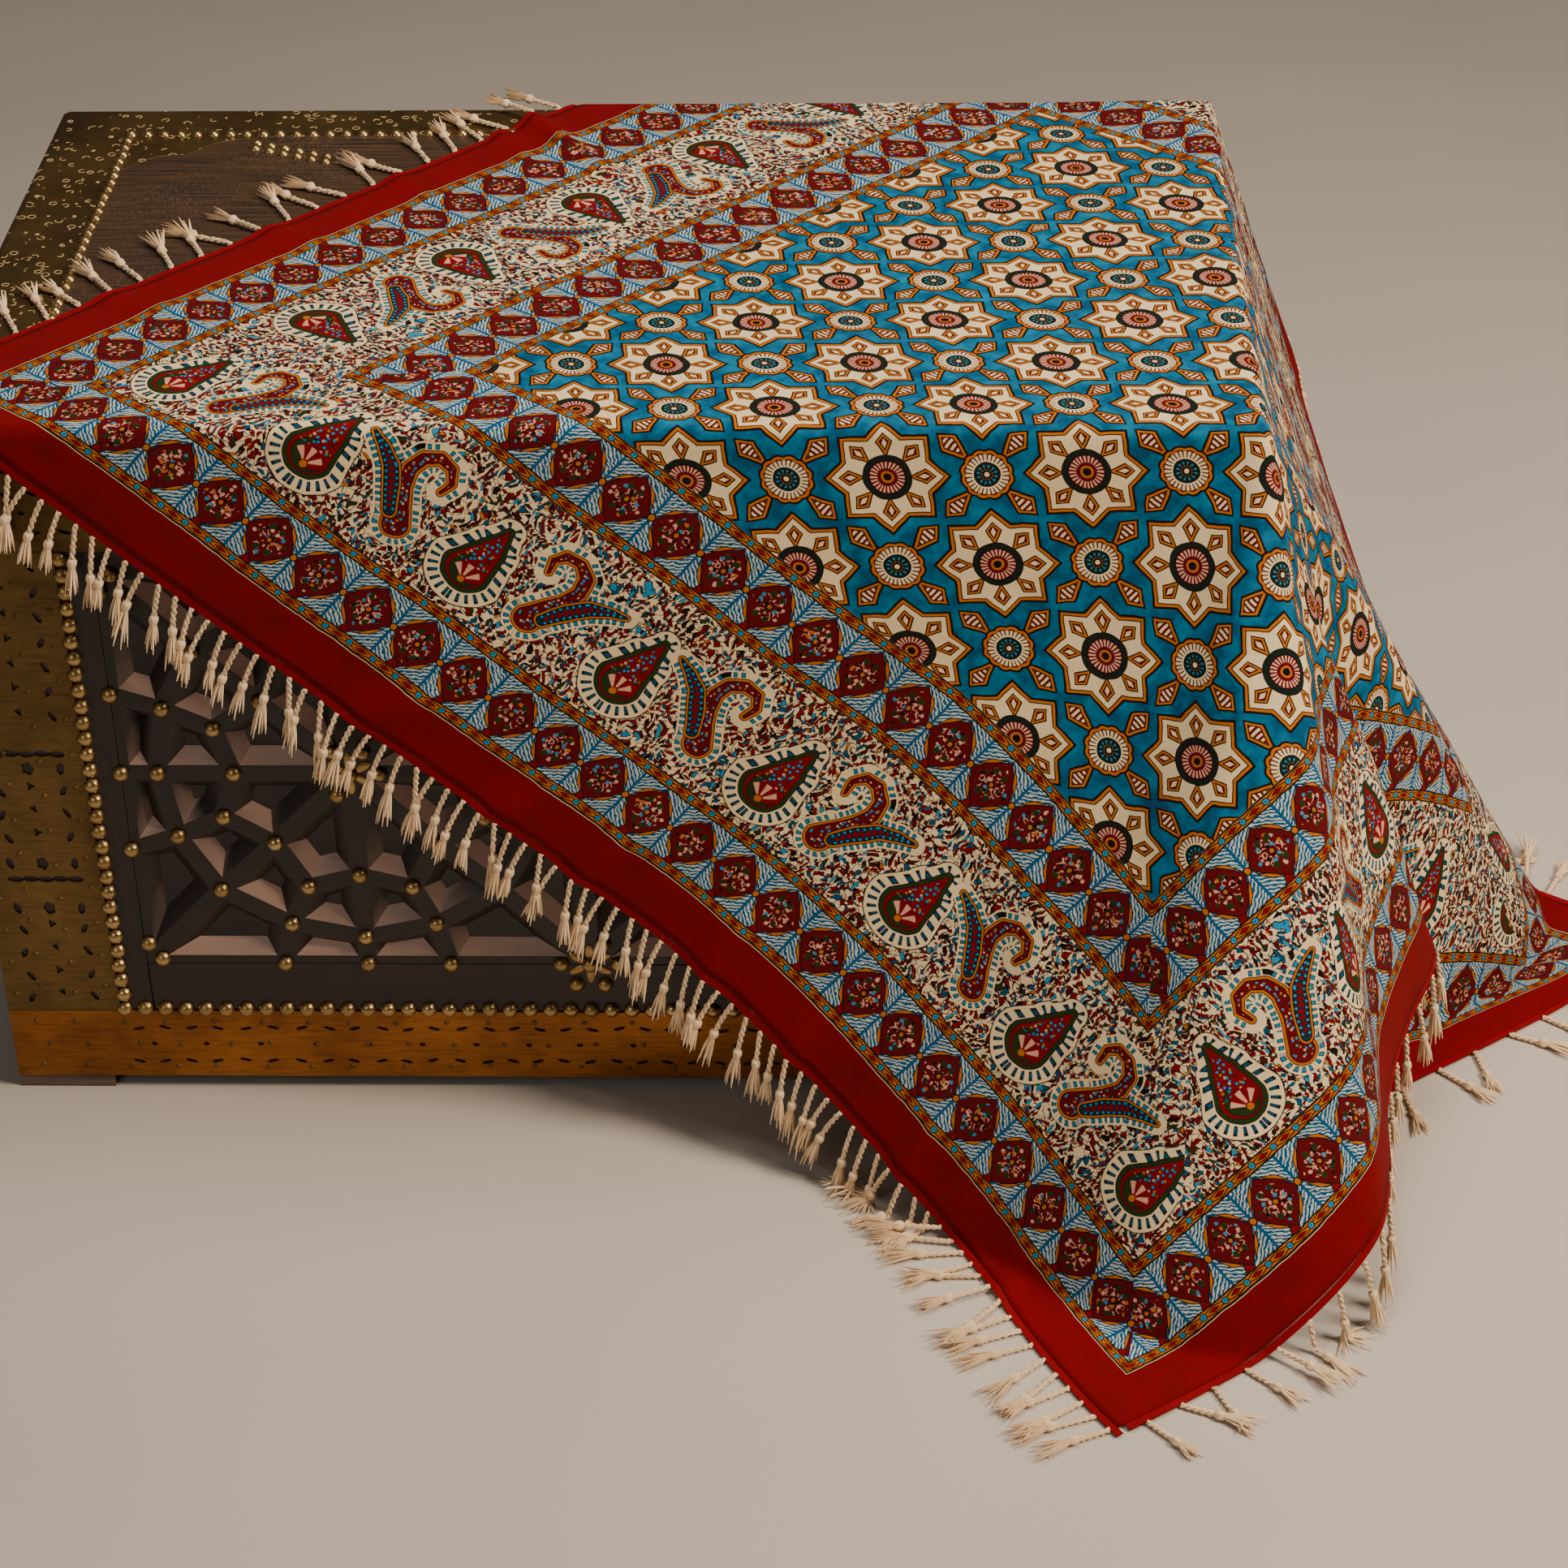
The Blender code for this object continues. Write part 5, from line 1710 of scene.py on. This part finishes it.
def stile_holes(left):
    """Leaves beside the edges, triangles down the middle, and two rows of drops by each slot."""
    holes = []
    z, k = stile_low.z + 0.012, 0
    while z < stile_high.z - 0.008:
        by_slot = min(abs(z - slot) for slot in SLOT_LEVELS)
        if by_slot > BARE_BY_SLOT:
            if by_slot < DROPS_BY_SLOT:
                holes.append(Hole(left + COLUMNS[0], z, 0.0115, 0.0062, 80, 6))
                point_up = 90 if z > SLOT_LEVELS[0] else -90
                holes.append(Hole(left + COLUMNS[1], z, 0.0128, 0.0100, point_up, 5))
                holes.append(Hole(left + COLUMNS[2], z, 0.0115, 0.0062, -80, 6))
            else:
                tilt = 62 if k % 2 else -62
                holes.append(Hole(left + COLUMNS[0] + 0.002 * (k % 2), z, 0.0105, 0.0050, tilt, 6))
                holes.append(Hole(left + COLUMNS[1], z + 0.006, 0.0092, 0.0076, 90 if k % 2 else -90, 3))
                holes.append(Hole(left + COLUMNS[2], z + 0.002, 0.0105, 0.0048, -tilt, 6))
        z += LEAF_STEP * (0.93 + 0.05 * wobble(k, 4))
        k += 1
    for slot in SLOT_LEVELS:
        for step in range(5):
            x = left + 0.022 + 0.0112 * step
            holes.append(Hole(x, slot + 0.0006 * (step % 2), 0.0126, 0.0060, 0, 10))
    return holes


def rail_holes(left, right, middle_z):
    """Two rows of slanted leaves with round holes between them."""
    holes = []
    x, k = left + 0.014, 0
    while x < right - 0.012:
        tilt = 16 if k % 2 else -16
        holes.append(Hole(x, middle_z + 0.015 + 0.001 * wobble(k, 1), 0.0105, 0.0037, tilt, 6))
        holes.append(Hole(x - 0.003, middle_z - 0.016 + 0.001 * wobble(k, 2), 0.0105, 0.0037, -tilt, 6))
        if k % 2 == 0:
            holes.append(Hole(x + 0.010, middle_z, 0.0050, 0.0042, 0, 8))
        x += 0.0205 + 0.0015 * wobble(k, 3)
        k += 1
    return holes


left_plate = punched_plate("band_left", stile_holes(stile_low.x))
finished(left_plate, stile_brass, ["band_left"])
right_low, right_high = solid_box("band_right")
right_plate = punched_plate("band_right", stile_holes(right_low.x))
finished(right_plate, stile_brass, ["band_right"])
rail_middle = (band_bottom_low.z + band_bottom_high.z) / 2
bottom_plate = punched_plate("band_bottom", rail_holes(-CHEST_WIDTH + 0.084, -0.004, rail_middle))
finished(bottom_plate, rail_brass, ["band_bottom"])
top_low, top_high = solid_box("band_top")
top_middle = (top_low.z + top_high.z) / 2
top_plate = punched_plate("band_top", rail_holes(-CHEST_WIDTH + 0.004, -0.004, top_middle))
finished(top_plate, stile_brass, ["band_top"])


# %% [markdown]
# ## Nails
# Domed brass nails sit in rows beside the bands, on every crossing of the straps and along the
# lid's border, and small flat ones pin the bands. One dome is a sphere cut in half, low and round,
# and the rows are copies of it. Nails are only set where the cloth leaves them room, which a ray
# from each place towards the cloth finds out.

# %% One nail and where it fits
NAIL_WIDTH = 0.0126
NAIL_HEIGHT = 0.0054
PIN_WIDTH = 0.0044
PIN_HEIGHT = 0.0014
SPARE = 0.0015
cloth_tree = BVHTree.FromObject(cloth, bpy.context.evaluated_depsgraph_get())


def dome(width, height, segments, rings):
    """A low round cap standing on the xz plane and pointing to -y."""
    bpy.ops.object.select_all(action="DESELECT")
    bpy.ops.mesh.primitive_uv_sphere_add(segments=segments, ring_count=rings, radius=0.5)
    cap = bpy.context.object
    bpy.ops.object.mode_set(mode="EDIT")
    bpy.ops.mesh.select_all(action="SELECT")
    bpy.ops.mesh.bisect(plane_co=(0, 0, 0.02), plane_no=(0, 0, 1), clear_inner=True, use_fill=True)
    bpy.ops.object.mode_set(mode="OBJECT")
    cap.scale = (width, width, height * 2)
    cap.rotation_euler = (math.pi / 2, 0, 0)
    freeze(cap)
    return cap


nail_shape = dome(NAIL_WIDTH, NAIL_HEIGHT, 12, 8)
pin_shape = dome(PIN_WIDTH, PIN_HEIGHT, 7, 4)


def has_room(place, way, height):
    """Whether the cloth leaves room for something this high here."""
    start = Vector(place) + CORNER
    hit = cloth_tree.ray_cast(start, Vector(way), 0.05)
    return hit[0] is None or hit[3] > height + SPARE


def copies(shape, places, name, turn=None):
    """One mesh made of a copy of a shape at each place."""
    points = np.array([vertex.co for vertex in shape.data.vertices])
    if turn is not None:
        points = points @ np.array(turn.to_3x3()).T
    faces = [list(face.vertices) for face in shape.data.polygons]
    all_points, all_faces = [], []
    for place in places:
        first = len(all_points) * len(points)
        all_points.append(points + np.array(place))
        all_faces += [[first + index for index in face] for face in faces]
    mesh = bpy.data.meshes.new(name)
    mesh.from_pydata(np.concatenate(all_points).tolist(), [], all_faces)
    made = bpy.data.objects.new(name, mesh)
    bpy.context.scene.collection.objects.link(made)
    return made


# %% Nails on the front
FRONT_WAY = (0.0, -1.0, 0.0)
COLUMN_STEP = 0.0135
ROW_STEP = 0.0154
plate_out = stile_low.y
column_x = stile_high.x + 0.0035
row_z = band_bottom_high.z + 0.0015
front_nails = []
z = row_z
while z < stile_high.z - 0.004:
    front_nails.append((column_x + 0.0006 * wobble(z * 100, 1), 0.0, z))
    z += COLUMN_STEP
x = column_x + ROW_STEP
while x < right_low.x:
    front_nails.append((x, 0.0, row_z + 0.0005 * wobble(x * 100, 2)))
    x += ROW_STEP
for joint in JOINTS.values():
    if joint.nail:
        front_nails += [(x, 0.0, z) for x, z in sorted(lattice_places(joint))]

FLOWER_NAIL_RING = 0.0215
FLOWER_PETAL_RING = 0.0105
PETAL_SIZE = (0.0150, 0.0070, 0.0022)
flowers = sorted({(round(x, 4), CELL_MIDDLE_Z) for x in CELL_CENTRES_X}
                 | {(round(sum(CELL_CENTRES_X) / 2, 4), z) for z in (panel_low, panel_high)})
petals = []
for x, z in flowers:
    front_nails.append((x, -0.001, z))
    for k in range(6):
        turn = math.radians(60 * k)
        front_nails.append((x + FLOWER_NAIL_RING * math.cos(turn), 0.0,
                            z + FLOWER_NAIL_RING * math.sin(turn)))
        turn += math.radians(30)
        petals.append((x, z, turn))
for x in (panel_left, panel_right):
    inward = 1 if x == panel_left else -1
    for z, up in ((panel_low, 1), (panel_high, -1)):
        front_nails.append((x + inward * 0.003, 0.0, z + up * 0.018))
        front_nails.append((x + inward * 0.012, 0.0, z + up * 0.004))
kept_nails = [place for place in front_nails if has_room(place, FRONT_WAY, NAIL_HEIGHT)]
front_row = copies(nail_shape, [(x, y - 0.0001, z) for x, y, z in kept_nails], "front_nails")
finished(front_row, nail_brass, smooth_deg=60)

petal_pieces = []
for x, z, turn in petals:
    if not has_room((x, 0.0, z), FRONT_WAY, NAIL_HEIGHT):
        continue
    bpy.ops.object.select_all(action="DESELECT")
    bpy.ops.mesh.primitive_uv_sphere_add(segments=10, ring_count=6, radius=0.5)
    petal = bpy.context.object
    petal.scale = PETAL_SIZE
    petal.rotation_euler = (math.pi / 2, -turn, 0)
    petal.location = (x + FLOWER_PETAL_RING * math.cos(turn), -0.0003,
                      z + FLOWER_PETAL_RING * math.sin(turn))
    freeze(petal)
    petal_pieces.append(petal)
finished(joined(petal_pieces, "flower_petals"), nail_brass, smooth_deg=60)


# %% Pins in the bands
pins = []
k = 0
for left, right, low, high in (
    (stile_low.x, stile_high.x, stile_low.z, stile_high.z),
    (right_low.x, right_high.x, right_low.z, right_high.z),
    (-CHEST_WIDTH, 0.0, band_bottom_low.z, band_bottom_high.z),
    (-CHEST_WIDTH, 0.0, top_low.z, top_high.z),
):
    upright = high - low > right - left
    lanes = (0.10, 0.33, 0.62, 0.90) if upright else (0.16, 0.50, 0.84)
    run = (high - low) if upright else (right - left)
    for lane_number, lane in enumerate(lanes):
        count = int(run / (0.030 if upright else 0.034))
        for step in range(count):
            along = (step + 0.5 + 0.25 * (lane_number % 2)) / (count + 0.3) + 0.004 * wobble(k, 6)
            x = left + (lane if upright else along) * (right - left)
            z = low + (along if upright else lane) * (high - low) + 0.001 * wobble(k, 7)
            pins.append((x, plate_out, z))
            k += 1
kept_pins = [place for place in pins if has_room(place, FRONT_WAY, PIN_HEIGHT)]
finished(copies(pin_shape, kept_pins, "band_pins"), stile_brass, smooth_deg=60)


# %% [markdown]
# ## The lid
# The lid's solid stays as it is. Its border is a thin brass sheet nailed flush, so a mask in the
# finish draws it: a band round the edge, a scalloped plate in the corner, and the crescents that
# a curved punch left all over it, with a painted glint on them. The middle is bare dark wood with
# fine worn streaks.

# %% Lid finish
LID_LEFT_BAND = 0.068
LID_BACK_BAND = 0.058
PLATE_LONG = 0.098
PLATE_DEEP = 0.062
BRASS_SOFT = 0.0006


def lid_finish():
    finish, desk, shader = open_finish("lid with brass border", 0.45)
    place = object_place(desk)
    x, y, z = desk.split(place)
    from_left = x + (CHEST_WIDTH - LID_LEFT_BAND)
    from_right = (x + LID_LEFT_BAND) * -1.0
    from_back = (CHEST_DEPTH - LID_BACK_BAND) - y
    from_front = y - LID_BACK_BAND
    band = desk.least(desk.least(from_left, from_right), desk.least(from_back, from_front))
    wavy = abs(desk.maths("SINE", from_left * 66.0)) * -0.16 + 1.05
    corner = desk.maths("MULTIPLY_ADD", from_left, 1 / PLATE_LONG, from_back * (1 / PLATE_DEEP)) - wavy
    brass_edge = desk.least(band, corner * 0.05)
    metal = desk.inside(brass_edge, BRASS_SOFT)
    clouds, brushed, dents = desk.group(tarnish, place)
    sheet = desk.paint(ink(104, 80, 40), ink(58, 42, 20), clouds)

    away, pick = desk.cells(place, 104.0, 0.9)
    shade = desk.red(pick)
    tilt = desk.noise(place, 120.0, 0.0)
    glinting_crescent = desk.both(desk.inside(abs(away - 0.30) - 0.050, 0.03), desk.inside(0.49 - tilt, 0.05))
    glinting_crescent = desk.both(glinting_crescent, desk.maths("GREATER_THAN", shade, 0.08))
    # The punched crescents are real marks with a bump. Their near-white colour is a painted glint.
    sheet = desk.paint(sheet, ink(255, 214, 150), glinting_crescent)
    stretched = desk.arrow("MULTIPLY", place, (GRAIN_ALONG * 1.6, GRAIN_ACROSS * 1.5, GRAIN_ACROSS))
    streaks, pores, patches = desk.group(wood_grain, stretched)
    slits = desk.noise(desk.arrow("MULTIPLY", place, (900.0, 130.0, 100.0)), 1.0, 2.0)
    timber = desk.paint(ink(26, 15, 9), ink(88, 60, 34), desk.levels(streaks, 3.0, -1.1))
    worn = desk.levels(desk.noise(place, 9.0, 4.0), 2.4, -0.9)
    timber = desk.paint(timber, ink(132, 108, 84), desk.both(worn, desk.levels(slits, 3.0, -1.5)))
    timber = desk.paint(timber, ink(16, 9, 6), desk.levels(pores, 2.8, -1.5))
    on_top = desk.inside((CHEST_HEIGHT - 0.030) - z, BRASS_SOFT)
    metal = desk.both(metal, on_top)
    desk.feed(shader.inputs["Base Color"], desk.paint(timber, sheet, metal))
    desk.feed(shader.inputs["Metallic"], metal * 0.72)
    desk.feed(shader.inputs["Roughness"], desk.maths("MULTIPLY_ADD", metal, -0.06, 0.52))
    carved_height = desk.maths("MULTIPLY_ADD", pores, 0.3, streaks * 0.4)
    sheet_height = desk.maths("MULTIPLY_ADD", glinting_crescent, 0.8, dents * 0.7 + 1.2)
    height = desk.maths("MULTIPLY_ADD", metal, sheet_height - carved_height, carved_height)
    bump(desk, shader, height, 0.0008, 0.7)
    return finish


for node, finish in {
    "chest_lid": lid_finish(),
    "chest_base": oiled_across,
    "chest_back": oiled_across,
    "chest_left": oiled_upright,
    "chest_right": oiled_upright,
    "foot_front_left": worn_feet,
    "foot_front_right": worn_feet,
    "foot_back_left": worn_feet,
    "foot_back_right": worn_feet,
}.items():
    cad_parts[node].data.materials.clear()
    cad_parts[node].data.materials.append(finish)
print("finishes on the solids that stay")


# %% Nails on the lid
UP_WAY = (0.0, 0.0, 1.0)
LID_NAIL_STEP = 0.0132
inner_left = -CHEST_WIDTH + LID_LEFT_BAND
inner_back = CHEST_DEPTH - LID_BACK_BAND
lid_nails = []
x = inner_left - 0.003
while x < -0.02:
    lid_nails.append((x, inner_back + 0.004 + 0.0006 * wobble(x * 50, 1), CHEST_HEIGHT))
    x += LID_NAIL_STEP
y = inner_back - 0.009
while y > 0.02:
    lid_nails.append((inner_left - 0.003 + 0.0006 * wobble(y * 50, 2), y, CHEST_HEIGHT))
    y -= LID_NAIL_STEP
for step in range(6):
    for side in (0, 1):
        lid_nails.append((inner_left + PLATE_LONG + 0.002 + 0.0118 * step,
                          inner_back - 0.014 - 0.0052 * step - 0.010 * side, CHEST_HEIGHT))
kept = [(x, y, z) for x, y, z in lid_nails if has_room((x, y, z + 0.0001), UP_WAY, NAIL_HEIGHT)]
lid_nail_shape = dome(0.0098, 0.0036, 10, 6)
upward = Matrix.Rotation(math.radians(-90), 4, "X")
finished(copies(lid_nail_shape, kept, "lid_nails", upward), nail_brass, smooth_deg=60)
for shape in (nail_shape, pin_shape, lid_nail_shape):
    bpy.data.objects.remove(shape, do_unlink=True)
